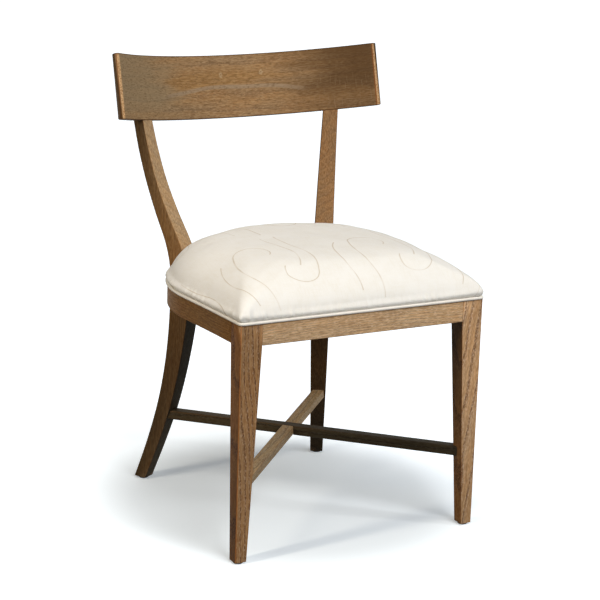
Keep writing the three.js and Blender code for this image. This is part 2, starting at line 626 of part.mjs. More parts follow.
const frontFoot = new THREE.Vector3(HALF_WIDTH - LEG_FOOT_WIDTH / 2, LEG_FOOT_DEPTH / 2, 0);
const rearFoot = postPoint(FOOT_Z, 0.5, 0.5).setZ(0);

function glideBore(foot) {
  const at = foot.clone().setZ(FOOT_Z - CUT_OVERRUN);
  return aimed(boreShape(PIN_RADIUS + CLEARANCE, CUT_OVERRUN + PIN_LENGTH + CLEARANCE), at, UP);
}

// Corner blocks
const BLOCK_INNER_X = HALF_WIDTH - RAIL_THICKNESS - CLEARANCE;
const BLOCK_INNER_Y = RAIL_THICKNESS + CLEARANCE;

function frontBlock() {
  const legX = LEG_INNER_X - CLEARANCE;
  const legY = LEG_TOP_DEPTH + CLEARANCE;
  const points = [[BLOCK_INNER_X - BLOCK_REACH, BLOCK_INNER_Y], [legX, BLOCK_INNER_Y], [legX, legY],
    [BLOCK_INNER_X, legY], [BLOCK_INNER_X, legY + BLOCK_SIDE_REACH]];
  return toSolid(prism(points.map(([x, y]) => new THREE.Vector2(x, y)), BLOCK_BOTTOM_Z, BLOCK_TOP_Z));
}

const SIDE_INNER_RADIUS = SIDE_RADIUS - RAIL_THICKNESS - CLEARANCE;
const BACK_INNER_RADIUS = BACK_RAIL_RADIUS - RAIL_THICKNESS - CLEARANCE;

function rearBlock(post) {
  const onBack = (x) => Math.acos(x / BACK_INNER_RADIUS);
  const innerCorner = postPoint(BLOCK_MIDDLE_Z, 0, 1);
  const points = [
    ...arcPoints(0, SIDE_ARC_Y, SIDE_INNER_RADIUS, REAR_BLOCK_TURN, REAR_BLOCK_TUCK, EDGE_STEPS),
    ...arcPoints(0, BACK_ARC_Y, BACK_INNER_RADIUS, onBack(innerCorner.x), onBack(REAR_BLOCK_X), EDGE_STEPS),
  ];
  return toSolid(prism(points, BLOCK_BOTTOM_Z, BLOCK_TOP_Z)).subtract(post);
}

// Screws of one corner: where each head lies and which way it points
function blockScrewPlaces() {
  const frontX = BLOCK_INNER_X - BLOCK_REACH * FRONT_BLOCK_SCREW_SHARE;
  const sideY = LEG_TOP_DEPTH + BLOCK_SIDE_REACH * SIDE_BLOCK_SCREW_SHARE;
  const sideTurn = (REAR_BLOCK_TURN + REAR_BLOCK_TUCK) / 2;
  const backX = (REAR_BLOCK_X + postPoint(BLOCK_MIDDLE_Z, 0, 1).x) / 2;
  const backTurn = Math.acos(backX / BACK_INNER_RADIUS);
  const high = BLOCK_MIDDLE_Z + SCREW_SET_OFF;
  const low = BLOCK_MIDDLE_Z - SCREW_SET_OFF;
  const sideHead = SIDE_INNER_RADIUS - BLOCK_SCREW_GRIP;
  const backHead = BACK_INNER_RADIUS - BLOCK_SCREW_GRIP;
  const radial = (turn) => new THREE.Vector3(Math.cos(turn), Math.sin(turn), 0);
  return {
    front: [
      [new THREE.Vector3(frontX, BLOCK_INNER_Y + BLOCK_SCREW_GRIP, high), new THREE.Vector3(0, -1, 0)],
      [new THREE.Vector3(BLOCK_INNER_X - BLOCK_SCREW_GRIP, sideY, low), new THREE.Vector3(1, 0, 0)],
    ],
    rear: [
      [radial(sideTurn).multiplyScalar(sideHead).add(new THREE.Vector3(0, SIDE_ARC_Y, low)), radial(sideTurn)],
      [radial(backTurn).multiplyScalar(backHead).add(new THREE.Vector3(0, BACK_ARC_Y, high)), radial(backTurn)],
    ],
  };
}

function seatScrewPlaces() {
  const headZ = BOARD_BOTTOM_Z - (RAIL_TOP_Z - BLOCK_TOP_Z) - SEAT_SCREW_GRIP;
  const front = new THREE.Vector3(BLOCK_INNER_X - BLOCK_REACH * SEAT_SCREW_SHARE,
    BLOCK_INNER_Y + BLOCK_SIDE_REACH * SEAT_SCREW_SHARE, headZ);
  const rear = postPoint(BLOCK_MIDDLE_Z, 0, 0.5).setZ(headZ);
  rear.x -= POST_BACK.x * SEAT_SCREW_SET_OFF;
  rear.y -= POST_BACK.y * SEAT_SCREW_SET_OFF;
  return { front, rear };
}

// Screws from behind through each post's tongue into the crest, under wooden plugs
const SCREW_AXIS = new THREE.Vector3(-POST_BACK.x * Math.cos(CREST_LEAN), -POST_BACK.y * Math.cos(CREST_LEAN),
  Math.sin(CREST_LEAN));

function crestScrewPlaces() {
  return [0, 1].map((k) => {
    const z = SHOULDER_Z + (CREST_SCREW_LOW + k * CREST_SCREW_PITCH) * Math.cos(CREST_LEAN);
    return postPoint(z, 1, 0.5);
  });
}

// Upholstery: rings of one outline, drawn in at the welt and then domed
function domeRing(outline, share, height, baseZ) {
  const centre = new THREE.Vector2(0, CROWN_CENTRE_Y);
  const blend = 1 - share ** PILLOW_POWER;
  const z = baseZ + height * (1 - share ** CROWN_POWER) ** (1 / CROWN_ROUNDNESS);
  return outline.map((p) => {
    const arm = p.clone().sub(centre);
    const reach = arm.length();
    const round = Math.min(reach, PILLOW_RADIUS);
    arm.multiplyScalar((share * THREE.MathUtils.lerp(reach, round, blend)) / reach);
    return new THREE.Vector3(arm.x, CROWN_CENTRE_Y + arm.y, z);
  });
}

function cushionBody(shrink, sideRows, shares) {
  const rings = sideRows.map(([inset, z]) => seatOutline(inset).map((p) => new THREE.Vector3(p.x, p.y, z)));
  const outline = seatOutline(COVER_EDGE_INSET + shrink);
  for (const share of shares) rings.push(domeRing(outline, share, CROWN_HEIGHT - shrink, RAIL_TOP_Z));
  return toSolid(loft(rings));
}

function coverOuter() {
  return cushionBody(0, [
    [COVER_TUCK_INSET, COVER_BOTTOM_Z],
    [COVER_TUCK_INSET, RAIL_TOP_Z + WELT_DIAMETER],
    [COVER_EDGE_INSET, RAIL_TOP_Z + WELT_DIAMETER + CLEARANCE + COVER_LIFT],
    [COVER_WAIST_INSET, RAIL_TOP_Z + COVER_WAIST_RISE],
    [COVER_EDGE_INSET, RAIL_TOP_Z + COVER_SHOULDER_RISE],
  ], DOME_SHARES);
}

function coverInner(shrink) {
  return cushionBody(shrink, [
    [COVER_TUCK_INSET + shrink, COVER_BOTTOM_Z + shrink],
    [COVER_TUCK_INSET + shrink, RAIL_TOP_Z + WELT_DIAMETER + shrink],
    [COVER_WAIST_INSET + shrink, RAIL_TOP_Z + COVER_WAIST_RISE],
    [COVER_EDGE_INSET + shrink, RAIL_TOP_Z + COVER_SHOULDER_RISE],
  ], INNER_DOME_SHARES);
}

// A cut for both posts, grown by a clearance
function postPair(grow) {
  return both(postBody(grow));
}

function seatCover() {
  const cavity = coverInner(COVER_THICKNESS).subtract(postPair(NOTCH_CLEARANCE + COVER_THICKNESS));
  const opening = toSolid(prism(seatOutline(HEM_REACH), COVER_BOTTOM_Z - CUT_OVERRUN, BOARD_BOTTOM_Z))
    .subtract(postPair(HEM_NOTCH));
  return coverOuter().subtract(postPair(NOTCH_CLEARANCE)).subtract(cavity).subtract(opening);
}

function seatBoard(bores) {
  const board = toSolid(prism(seatOutline(BOARD_INSET), BOARD_BOTTOM_Z, BOARD_TOP_Z));
  return board.subtract(postPair(NOTCH_CLEARANCE + COVER_THICKNESS + CLEARANCE)).subtract(bores);
}

function seatFoam() {
  const shrink = COVER_THICKNESS + CLEARANCE;
  const foot = BOARD_TOP_Z + CLEARANCE;
  const below = toSolid(prism(seatOutline(-CUT_OVERRUN), COVER_BOTTOM_Z - CUT_OVERRUN, foot));
  return coverInner(shrink).subtract(below).subtract(postPair(NOTCH_CLEARANCE + shrink));
}

function dustCover(legs, bores) {
  const top = RAIL_TOP_Z - CLEARANCE + COVER_LIFT / 2;
  const sheet = toSolid(prism(seatOutline(RAIL_THICKNESS + CLEARANCE * 2), top - DUST_COVER_THICKNESS, top));
  return sheet.subtract(legs).subtract(postPair(NOTCH_CLEARANCE)).subtract(bores);
}

// Welt: a cord in fabric along the foot of the cover
function weltTube(points) {
  const z = RAIL_TOP_Z + WELT_RADIUS + COVER_LIFT / 3;
  const path = new THREE.CatmullRomCurve3(points.map((p) => new THREE.Vector3(p.x, p.y, z)));
  const section = new THREE.Shape(arcPoints(0, 0, WELT_RADIUS, 0, 2 * Math.PI, WELT_SIDES).slice(1));
  const options = { steps: points.length * 2, bevelEnabled: false, extrudePath: path };
  return toSolid(new THREE.ExtrudeGeometry(section, options));
}

function weltRuns() {
  const outline = seatOutline(WELT_INSET);
  const count = outline.length;
  const half = EDGE_STEPS * 3 + 3;
  const front = [];
  for (let i = -half; i <= half; i += 1) front.push(outline[(i + count) % count]);
  const back = outline.slice(half, count - half + 1);
  return { front, back };
}

// Assembly
const chair = new THREE.Group();

function addPiece(name, solid, finish) {
  const mesh = new THREE.Mesh(toGeometry(solid), new THREE.MeshStandardMaterial(finish));
  mesh.name = name;
  chair.add(mesh);
}

function addPair(name, solid, finish) {
  addPiece(`right_${name}`, solid, finish);
  addPiece(`left_${name}`, twin(solid), finish);
}

function union(solids) {
  return solids.reduce((all, next) => all.add(next));
}

const blockScrews = blockScrewPlaces();
const seatScrews = seatScrewPlaces();
const blockScrewCuts = [...blockScrews.front, ...blockScrews.rear].map(([at, direction]) => union([
  aimed(screwShape(BLOCK_SCREW_LENGTH, CLEARANCE), at, direction),
  aimed(boreShape(SCREW_HEAD_RADIUS + CLEARANCE, BLOCK_REACH), at, direction.clone().negate()),
]));
const seatScrewCuts = [seatScrews.front, seatScrews.rear].map((at) => union([
  aimed(screwShape(SEAT_SCREW_LENGTH, CLEARANCE), at, UP),
  aimed(boreShape(SCREW_HEAD_RADIUS + CLEARANCE, BLOCK_HEIGHT), at, UP.clone().negate()),
]));
const blockScrewCut = union(blockScrewCuts);
const seatScrewCut = union(seatScrewCuts);

const grownPost = postBody(CLEARANCE);
const grownLeg = frontLegBody(CLEARANCE);
const grownPosts = both(grownPost);
const grownLegs = both(grownLeg);
const housingRadius = CREST_RADIUS + CREST_THICKNESS - CREST_HOUSING;
const crestCover = CREST_HEIGHT + CUT_OVERRUN;

const stubCuts = both(union(stretcherStubs(CLEARANCE)));

const leg = frontLegBody(0).subtract(frontRailTenon(CLEARANCE)).subtract(sideRailTenon(CLEARANCE))
  .subtract(stubCuts).subtract(glideBore(frontFoot));
addPair('front_leg', leg, OAK);

const crestScrewAt = crestScrewPlaces();
const headAt = (at) => at.clone().addScaledVector(SCREW_AXIS, PLUG_DEPTH);
const crestScrewCut = union(crestScrewAt.map((at) => union([
  aimed(screwShape(CREST_SCREW_LENGTH, CLEARANCE), headAt(at), SCREW_AXIS),
  aimed(boreShape(PLUG_RADIUS + CLEARANCE, PLUG_DEPTH + CUT_OVERRUN), headAt(at), SCREW_AXIS.clone().negate()),
])));
const post = postBody(0)
  .subtract(crestBand(CREST_RADIUS - 2 * CUT_OVERRUN, housingRadius + CLEARANCE, -CLEARANCE, crestCover))
  .subtract(sideToPostTenon(CLEARANCE)).subtract(backToPostTenon(CLEARANCE))
  .subtract(stubCuts).subtract(glideBore(rearFoot)).subtract(crestScrewCut);
addPair('rear_post', post, OAK);

const crestFront = CREST_RADIUS - 2 * CUT_OVERRUN;
const tongues = grownPosts.subtract(crestBand(crestFront, housingRadius, -CUT_OVERRUN, crestCover));
addPiece('crest_rail', crestBody().subtract(tongues).subtract(both(crestScrewCut)), OAK);

crestScrewAt.forEach((at, k) => {
  const level = ['lower', 'upper'][k];
  addPair(`crest_screw_${level}`, aimed(screwShape(CREST_SCREW_LENGTH, 0), headAt(at), SCREW_AXIS), ZINC);
  addPair(`crest_plug_${level}`, aimed(plugShape(), at, SCREW_AXIS), OAK);
});

addPiece('front_seat_rail', frontRail().subtract(both(blockScrewCut)), OAK);
addPair('side_seat_rail', sideRail(grownPost).subtract(blockScrewCut), OAK);
addPiece('back_seat_rail', backRail(grownPosts).subtract(both(blockScrewCut)), OAK);

const legOpposite = twin(grownLeg);
addPiece('stretcher_left_front_to_right_rear', stretcher(false, legOpposite, grownPost), OAK);
addPiece('stretcher_right_front_to_left_rear', twin(stretcher(true, legOpposite, grownPost)), OAK);

addPair('front_corner_block', frontBlock().subtract(blockScrewCut).subtract(seatScrewCut), BEECH);
addPair('rear_corner_block', rearBlock(grownPost).subtract(blockScrewCut).subtract(seatScrewCut), BEECH);

for (const [corner, screws] of Object.entries(blockScrews)) {
  screws.forEach(([at, direction], k) => {
    addPair(`${corner}_block_screw_${k + 1}`, aimed(screwShape(BLOCK_SCREW_LENGTH, 0), at, direction), ZINC);
  });
  addPair(`${corner}_seat_screw`, aimed(screwShape(SEAT_SCREW_LENGTH, 0), seatScrews[corner], UP), ZINC);
}

addPiece('seat_board', seatBoard(both(seatScrewCut)), PLYWOOD);
addPiece('dust_cover', dustCover(grownLegs, both(seatScrewCut)), CAMBRIC);
addPiece('seat_foam', seatFoam(), FOAM);
addPiece('seat_cover', seatCover(), LINEN);
const runs = weltRuns();
addPiece('seat_welt', weltTube(runs.front).subtract(postPair(NOTCH_CLEARANCE)), LINEN);
addPiece('back_welt', weltTube(runs.back).subtract(postPair(NOTCH_CLEARANCE)), LINEN);

addPair('front_glide', aimed(glideShape(), frontFoot, UP), BLACK_PLASTIC);
addPair('rear_glide', aimed(glideShape(), rearFoot, UP), BLACK_PLASTIC);

// The origin lies on the floor, under the middle of the chair's box
const box = new THREE.Box3().setFromObject(chair);
chair.position.set(-(box.min.x + box.max.x) / 2, -(box.min.y + box.max.y) / 2, -box.min.z);

export default chair;
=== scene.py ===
import math

import bmesh
import bpy
from mathutils import Matrix, Vector, kdtree, noise


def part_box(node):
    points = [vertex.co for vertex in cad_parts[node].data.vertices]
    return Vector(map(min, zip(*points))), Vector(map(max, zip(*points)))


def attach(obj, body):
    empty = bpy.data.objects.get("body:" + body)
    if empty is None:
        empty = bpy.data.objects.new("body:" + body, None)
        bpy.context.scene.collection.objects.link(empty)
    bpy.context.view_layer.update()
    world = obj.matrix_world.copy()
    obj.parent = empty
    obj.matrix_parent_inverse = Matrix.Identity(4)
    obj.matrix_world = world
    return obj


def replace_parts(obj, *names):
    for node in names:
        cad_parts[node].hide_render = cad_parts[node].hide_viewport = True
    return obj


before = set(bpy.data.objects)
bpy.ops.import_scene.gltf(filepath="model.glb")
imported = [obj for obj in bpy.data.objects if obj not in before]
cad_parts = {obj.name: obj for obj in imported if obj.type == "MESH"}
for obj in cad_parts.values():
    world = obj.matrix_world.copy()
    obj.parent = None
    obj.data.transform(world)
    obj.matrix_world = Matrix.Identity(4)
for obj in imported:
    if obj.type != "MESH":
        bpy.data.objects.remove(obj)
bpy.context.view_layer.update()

MM = 0.001
X, Y, Z = range(3)
ROOT = "root"

# The frame's sizes that the looks follow
FRONT_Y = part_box("left_front_leg")[0].y  # front plane of the legs and the front rail
FOOT_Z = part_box("left_front_leg")[0].z  # wooden foot, on its glide
RAIL_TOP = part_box("left_front_leg")[1].z
HALF_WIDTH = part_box("right_front_leg")[1].x
SIDE_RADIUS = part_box("right_side_seat_rail")[1].x
SIDE_ARC_Y = FRONT_Y + 0.227
SIDE_STRAIGHT_END = FRONT_Y + 0.14074  # handles of the curve from the straight side into the round back
SIDE_ARC_START = FRONT_Y + 0.19522
BACK_RADIUS = 0.382
BACK_ARC_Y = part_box("back_seat_rail")[1].y - BACK_RADIUS
CREST_RADIUS = 0.382
CREST_HEIGHT = 0.123
CREST_LEAN = math.radians(14.4)
CREST_CENTRE_AHEAD = 0.2672  # from the crest's ends forward to the centre of its bow
CREST_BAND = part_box("crest_rail")[1].x - 8.2 * MM  # inner edge of the flat at each end
CREST_END = Vector(
    (0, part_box("crest_rail")[0].y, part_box("crest_rail")[1].z - CREST_HEIGHT * math.cos(CREST_LEAN)))

# Camera, solved from the photo: its place is measured from the front plane and the wooden feet
IMAGE_PIXELS = 600
FOCAL_PIXELS = 2026.85
SENSOR = 36
CAMERA_AT = Vector((-1.82575, FRONT_Y - 2.96036, FOOT_Z + 1.33736))
CAMERA_YAW = math.radians(29.72)
CAMERA_PITCH = math.radians(14.283)
CAMERA_ROLL = math.radians(1.8485)


def make_camera():
    data = bpy.data.cameras.new("camera")
    data.sensor_width = SENSOR
    data.lens = FOCAL_PIXELS / IMAGE_PIXELS * SENSOR
    camera = bpy.data.objects.new("camera", data)
    bpy.context.scene.collection.objects.link(camera)
    pose = Matrix.Translation(CAMERA_AT)
    for turn, axis in ((-CAMERA_YAW, "Z"), (math.pi / 2 - CAMERA_PITCH, "X"), (CAMERA_ROLL, "Z")):
        pose = pose @ Matrix.Rotation(turn, 4, axis)
    camera.matrix_world = pose
    bpy.context.scene.camera = camera


make_camera()


# Node helpers
class Nodes:
    """A short way to write the node tree of a material or a world. A method takes sockets, numbers or tuples."""

    def __init__(self, owner):
        owner.use_nodes = True
        self.owner = owner
        self.tree = owner.node_tree
        self.shader = self.tree.nodes.get("Principled BSDF")

    def node(self, kind, inputs=(), **settings):
        """A new node with these settings, and sockets or values for its inputs, by name or number."""
        made = self.tree.nodes.new(kind)
        for key, value in settings.items():
            setattr(made, key, value)
        for key, value in dict(inputs).items():
            self.put(value, made.inputs[key])
        return made

    def put(self, value, socket):
        if isinstance(value, bpy.types.NodeSocket):
            self.tree.links.new(value, socket)
        elif value is not None:
            socket.default_value = value

    def math(self, kind, a, b=None, c=None, clamp=False):
        return self.node("ShaderNodeMath", enumerate((a, b, c)), operation=kind, use_clamp=clamp).outputs[0]

    def minus(self, a, b):
        return self.math("SUBTRACT", a, b)

    def times_plus(self, a, b, c):
        return self.math("MULTIPLY_ADD", a, b, c)

    def size(self, value):
        return self.math("ABSOLUTE", value)

    def times(self, first, *others):
        for other in others:
            first = self.math("MULTIPLY", first, other)
        return first

    def most(self, first, *others):
        for other in others:
            first = self.math("MAXIMUM", first, other)
        return first

    def hypotenuse(self, a, b):
        return self.math("SQRT", self.math("ADD", self.times(a, a), self.times(b, b)))

    def vector(self, kind, a, b=None):
        made = self.node("ShaderNodeVectorMath", enumerate((a, b)), operation=kind)
        return made.outputs["Value" if kind in ("DOT_PRODUCT", "LENGTH") else "Vector"]

    def place(self):
        return self.node("ShaderNodeTexCoord").outputs["Object"]

    def normal(self):
        return self.node("ShaderNodeTexCoord").outputs["Normal"]

    def at(self, axis):
        return self.split(self.place())[axis]

    def facing(self, axis):
        return self.split(self.normal())[axis]

    def split(self, vector):
        return self.node("ShaderNodeSeparateXYZ", {0: vector}).outputs

    def join(self, x, y, z):
        return self.node("ShaderNodeCombineXYZ", enumerate((x, y, z))).outputs[0]

    def noise(self, vector, scale, detail=2.0, rough=0.5, shift=None):
        """Noise of so many spots to the metre each way."""
        vector = self.scaled(vector, *scale)
        if shift:
            vector = self.moved(vector, *shift)
        inputs = {"Vector": vector, "Scale": 1.0, "Detail": detail, "Roughness": rough}
        return self.node("ShaderNodeTexNoise", inputs).outputs["Fac"]

    def scaled(self, vector, x, y, z):
        return self.vector("MULTIPLY", vector, (x, y, z))

    def moved(self, vector, x, y, z):
        return self.vector("ADD", vector, (x, y, z))

    def steps(self, value, low, high, low_to=0.0, high_to=1.0):
        inputs = {"Value": value, "From Min": low, "From Max": high, "To Min": low_to, "To Max": high_to}
        return self.node("ShaderNodeMapRange", inputs, interpolation_type="SMOOTHSTEP").outputs["Result"]

    def falls(self, value, low, high):
        return self.steps(value, low, high, 1.0, 0.0)

    def band(self, value, rise, fall):
        """1 between two soft edges, which are spans of the value."""
        return self.times(self.steps(value, *rise), self.falls(value, *fall))

    def mix(self, share, a, b, blend="MIX"):
        made = self.node("ShaderNodeMix", data_type="RGBA", blend_type=blend)
        self.put(share, made.inputs["Factor"])
        for value, name in ((a, "A"), (b, "B")):
            sockets = [s for s in made.inputs if s.name == name and s.type == "RGBA"]
            self.put(value, sockets[0])
        return [s for s in made.outputs if s.type == "RGBA"][0]

    def darkened_by(self, share, colour, tint):
        """The colour multiplied by a tint, as far as the share goes; the script paints shade with it."""
        return self.mix(share, colour, self.mix(1.0, colour, (*tint, 1.0), "MULTIPLY"))

    def bump(self, height, strength, distance, normal=None):
        inputs = {"Strength": strength, "Distance": distance, "Height": height, "Normal": normal}
        return self.node("ShaderNodeBump", inputs).outputs["Normal"]

    def rounded(self, radius):
        """The normal as it would be with the edges rounded."""
        return self.node("ShaderNodeBevel", {"Radius": radius}, samples=4).outputs[0]

    def finish(self, colour, roughness, normal=None, sheen=0.0, specular=None):
        for name, value in (
                ("Base Color", colour), ("Roughness", roughness), ("Normal", normal), ("Sheen Weight", sheen),
                ("Specular IOR Level", specular)):
            self.put(value, self.shader.inputs[name])
        return self.owner


def srgb(red, green, blue):
    """A colour as it reads on screen, 0 to 255, in the linear values that a shader takes."""
    linear = []
    for value in (red, green, blue):
        share = value / 255
        linear.append(share / 12.92 if share <= 0.04045 else ((share + 0.055) / 1.055) ** 2.4)
    return (*linear, 1.0)


# Board space: x runs along the grain, y across the board, z through it
def straight(along, across):
    along = Vector(along).normalized()
    through = along.cross(Vector(across)).normalized()
    axes = (along, through.cross(along), through)

    def space(nodes):
        place = nodes.place()
        return nodes.join(*[nodes.vector("DOT_PRODUCT", place, tuple(axis)) for axis in axes])
    return space


def back_bow(nodes):
    """Follows the back rail round its centre."""
    x, y, z = nodes.split(nodes.place())
    y = nodes.minus(y, BACK_ARC_Y)
    along = nodes.times(nodes.math("ARCTAN2", x, y), BACK_RADIUS)
    return nodes.join(along, z, nodes.minus(nodes.hypotenuse(x, y), BACK_RADIUS))


def side_bow(nodes):
    """Follows a side rail, which runs straight forward of its centre."""
    x, y, z = nodes.split(nodes.place())
    y = nodes.minus(y, SIDE_ARC_Y)
    beyond = nodes.math("MAXIMUM", y, 0.0)
    before = nodes.math("MINIMUM", y, 0.0)
    side = nodes.size(x)
    along = nodes.math("ADD", nodes.times(nodes.math("ARCTAN2", beyond, side), SIDE_RADIUS), before)
    return nodes.join(along, z, nodes.minus(nodes.hypotenuse(side, beyond), SIDE_RADIUS))


def crest_bow(nodes):
    """Follows the crest, which leans back before it bows."""
    place = nodes.vector("SUBTRACT", nodes.place(), tuple(CREST_END))
    back = nodes.vector("DOT_PRODUCT", place, (0, math.cos(CREST_LEAN), -math.sin(CREST_LEAN)))
    up = nodes.vector("DOT_PRODUCT", place, (0, math.sin(CREST_LEAN), math.cos(CREST_LEAN)))
    x = nodes.split(place)[X]
    from_centre = nodes.math("ADD", back, CREST_CENTRE_AHEAD)
    along = nodes.times(nodes.math("ARCTAN2", x, from_centre), CREST_RADIUS)
    return nodes.join(along, up, nodes.minus(nodes.hypotenuse(x, from_centre), CREST_RADIUS))


# Spans of a normal over which a face comes to count as a side, a left side or a front
SIDEWAYS = (0.70, 0.92)
LEFTWARDS = (-0.92, -0.70)
AHEAD = (-0.75, -0.50)

# Oak: stained brown, its open pores dark or filled pale, warmer at worn edges
OAK_BROWN = srgb(160, 119, 78)
OAK_GREY = srgb(144, 115, 84)
OAK_LATE = srgb(172, 130, 84)
OAK_FIBRE = srgb(120, 88, 58)
OAK_LUSTRE = srgb(114, 82, 52)
OAK_FLECK = srgb(188, 154, 114)
OAK_EARLY = srgb(112, 80, 54)
FILLED_PORE = srgb(192, 168, 140)
OPEN_PORE = srgb(66, 42, 28)
WORN_EDGE = srgb(158, 96, 48)
BARE_ARRIS = srgb(170, 110, 60)
SIDE_FACE_SHADE = (0.62, 0.49, 0.34)
PAINTED_SHADE_TINT = (0.15, 0.18, 0.21)
WORN_RADIUS = 2.4 * MM
BARE_WIDTH = (1.0 * MM, 2.0 * MM)
SOFT_RADIUS = 0.8 * MM
GRAIN_DEPTH = 0.4 * MM

# Spots of noise drawn out along the grain: their length, width, seed and detail
DRIFT = (420 * MM, 110 * MM, 1, 1.0)
WAVE = (90 * MM, 24 * MM, 2, 2.0)
CLOUD = (160 * MM, 40 * MM, 3, 3.0)
FIBRE = (22 * MM, 1.3 * MM, 4, 3.0)
MOTTLE = (10 * MM, 2.0 * MM, 5, 2.0)
OPEN_PORES = (4.0 * MM, 1.7 * MM, 6, 1.0)
FILLED_PORES = (5.0 * MM, 1.6 * MM, 7, 1.0)
STRAY_PORES = (9 * MM, 1.1 * MM, 8, 1.0)
LUSTRE = (60 * MM, 2.4 * MM, 9, 2.0)


def streaks(nodes, space, spots, seed=0.0):
    length, width, own_seed, detail = spots
    seed += own_seed
    return nodes.noise(space, (1 / length, 1 / width, 1 / width), detail, shift=(seed, seed * 1.7, seed * 0.6))


def growth(nodes, space, pith, ring, wander, seed):
    """How far a point lies through its growth ring, from 0 to 1."""
    drift = nodes.minus(streaks(nodes, space, DRIFT, seed), 0.5)
    wave = nodes.minus(streaks(nodes, space, WAVE, seed), 0.5)
    _, v, w = nodes.split(nodes.vector("SUBTRACT", space, (0, *pith)))
    reach = nodes.times_plus(drift, wander * 2, nodes.hypotenuse(v, w))
    reach = nodes.times_plus(wave, ring * 1.1, reach)
    return nodes.math("FRACT", nodes.math("DIVIDE", reach, ring))


def worn_edges(nodes, colour, mottle):
    flat = nodes.node("ShaderNodeNewGeometry").outputs["Normal"]
    worn = nodes.falls(nodes.vector("DOT_PRODUCT", nodes.rounded(WORN_RADIUS), flat), 0.84, 0.985)
    worn = nodes.times(worn, nodes.steps(mottle, 0.30, 0.55, 0.35, 1.0), 0.72)
    return nodes.mix(worn, colour, WORN_EDGE)


def bare_arris(nodes, colour, mottle, corner):
    """The upright edge over a corner in plan, rubbed down to the wood."""
    off = nodes.scaled(nodes.vector("SUBTRACT", nodes.place(), (*corner, 0)), 1, 1, 0)
    bare = nodes.falls(nodes.vector("LENGTH", off), *BARE_WIDTH)
    bare = nodes.times(bare, nodes.steps(mottle, 0.25, 0.55, 0.45, 1.0), 0.75)
    return nodes.mix(bare, colour, BARE_ARRIS)


def oak(name, board, pith, ring, seed, tone, wander, pores=1.0, figure_and_shade=None, arris=None, shade=None):
    """board makes the board space, and pith is how far the tree's heart lies across and through it."""
    nodes = Nodes(bpy.data.materials.new(name))
    space = board(nodes)
    phase = growth(nodes, space, pith, ring, wander, seed)
    early = nodes.most(nodes.falls(phase, 0.10, 0.30), nodes.steps(phase, 0.93, 1.0))
    fringe = nodes.most(nodes.falls(phase, 0.25, 0.62), nodes.steps(phase, 0.80, 0.95))
    cloud = streaks(nodes, space, CLOUD, seed)
    fibre = streaks(nodes, space, FIBRE, seed)
    mottle = streaks(nodes, space, MOTTLE, seed)
    lustre = nodes.steps(streaks(nodes, space, LUSTRE, seed), 0.42, 0.62)
    open_pores = nodes.steps(streaks(nodes, space, OPEN_PORES, seed), 0.42, 0.58)
    stray = nodes.steps(streaks(nodes, space, STRAY_PORES, seed), 0.62, 0.76)
    dark = nodes.math("MULTIPLY_ADD", stray, 0.35, nodes.times(open_pores, early), clamp=True)
    pale = nodes.times(nodes.steps(streaks(nodes, space, FILLED_PORES, seed), 0.52, 0.66), fringe)

    colour = nodes.mix(nodes.steps(cloud, 0.32, 0.68), OAK_BROWN, OAK_GREY)
    for share, other in (
            (nodes.steps(phase, 0.3, 0.9, 0.0, 0.35), OAK_LATE),
            (nodes.steps(fibre, 0.38, 0.66, 0.0, 0.62), OAK_FIBRE),
            (nodes.times(lustre, 0.42), OAK_LUSTRE),
            (nodes.steps(mottle, 0.42, 0.66, 0.0, 0.38), OAK_FLECK),
            (nodes.times(early, 0.45 * pores), OAK_EARLY),
            (nodes.times(pale, 0.55 * pores), FILLED_PORE),
            (nodes.times(dark, 0.85 * pores), OPEN_PORE)):
        colour = nodes.mix(share, colour, other)
    # The crest's figure, with painted shade on it
    if figure_and_shade:
        colour = figure_and_shade(nodes, space, colour)
    colour = nodes.mix(1.0, colour, (*tone, 1.0), "MULTIPLY")

    # Painted shade: faces turned to the sides are darkened
    colour = nodes.darkened_by(nodes.steps(nodes.size(nodes.facing(X)), *SIDEWAYS), colour, SIDE_FACE_SHADE)
    # Painted shade where the seat or the crest shades the member
    if shade:
        colour = nodes.darkened_by(shade(nodes), colour, PAINTED_SHADE_TINT)
    colour = worn_edges(nodes, colour, mottle)
    if arris:
        colour = bare_arris(nodes, colour, mottle, arris)

    height = nodes.times_plus(fibre, 0.4, nodes.times(mottle, 0.2))
    height = nodes.minus(height, nodes.times(dark, pores))
    normal = nodes.bump(height, 0.4, GRAIN_DEPTH, nodes.rounded(SOFT_RADIUS))
    return nodes.finish(colour, nodes.steps(fibre, 0.2, 0.8, 0.50, 0.66), normal, specular=0.06)


# Painted shade under the seat and the crest: where it darkens the wood, as a share, over spans of height, or of x or y
# for the stretchers
UNDER_SEAT = (0.35, 0.43)
SABRE_LEG = (0.08, 0.38)
BACK_POST = (0.44, 0.72)
LEFT_LEG = (0.02, 0.38)
RIGHT_LEG = (0.05, 0.40)
RIGHT_FOOT = (0.02, 0.30)
LONG_STRETCHER = (-0.10, 0.08)
PAINTED_LIGHT_STRETCHER = (-0.10, 0.06)


def post_shade(full_below, none_above):
    """Painted shade on the front and sides of a sabre leg under the seat, and on the sides of the post under the crest.
    """
    def shade(nodes):
        height = nodes.at(Z)
        ahead = nodes.times(nodes.falls(nodes.facing(Y), *AHEAD), nodes.falls(height, full_below, none_above))
        under = nodes.times(nodes.falls(height, *UNDER_SEAT), nodes.steps(height, *SABRE_LEG, 0.85, 0.60))
        high = nodes.steps(height, *BACK_POST, 0.12, 0.84)
        side = nodes.steps(nodes.size(nodes.facing(X)), *SIDEWAYS)
        return nodes.most(ahead, nodes.times(side, nodes.most(under, high)))
    return shade


def left_leg_shade(nodes):
    """Painted shade on the outer side of the left front leg, more so towards its foot."""
    outer = nodes.falls(nodes.facing(X), *LEFTWARDS)
    return nodes.times(outer, nodes.steps(nodes.at(Z), *LEFT_LEG, 0.42, 0.06))


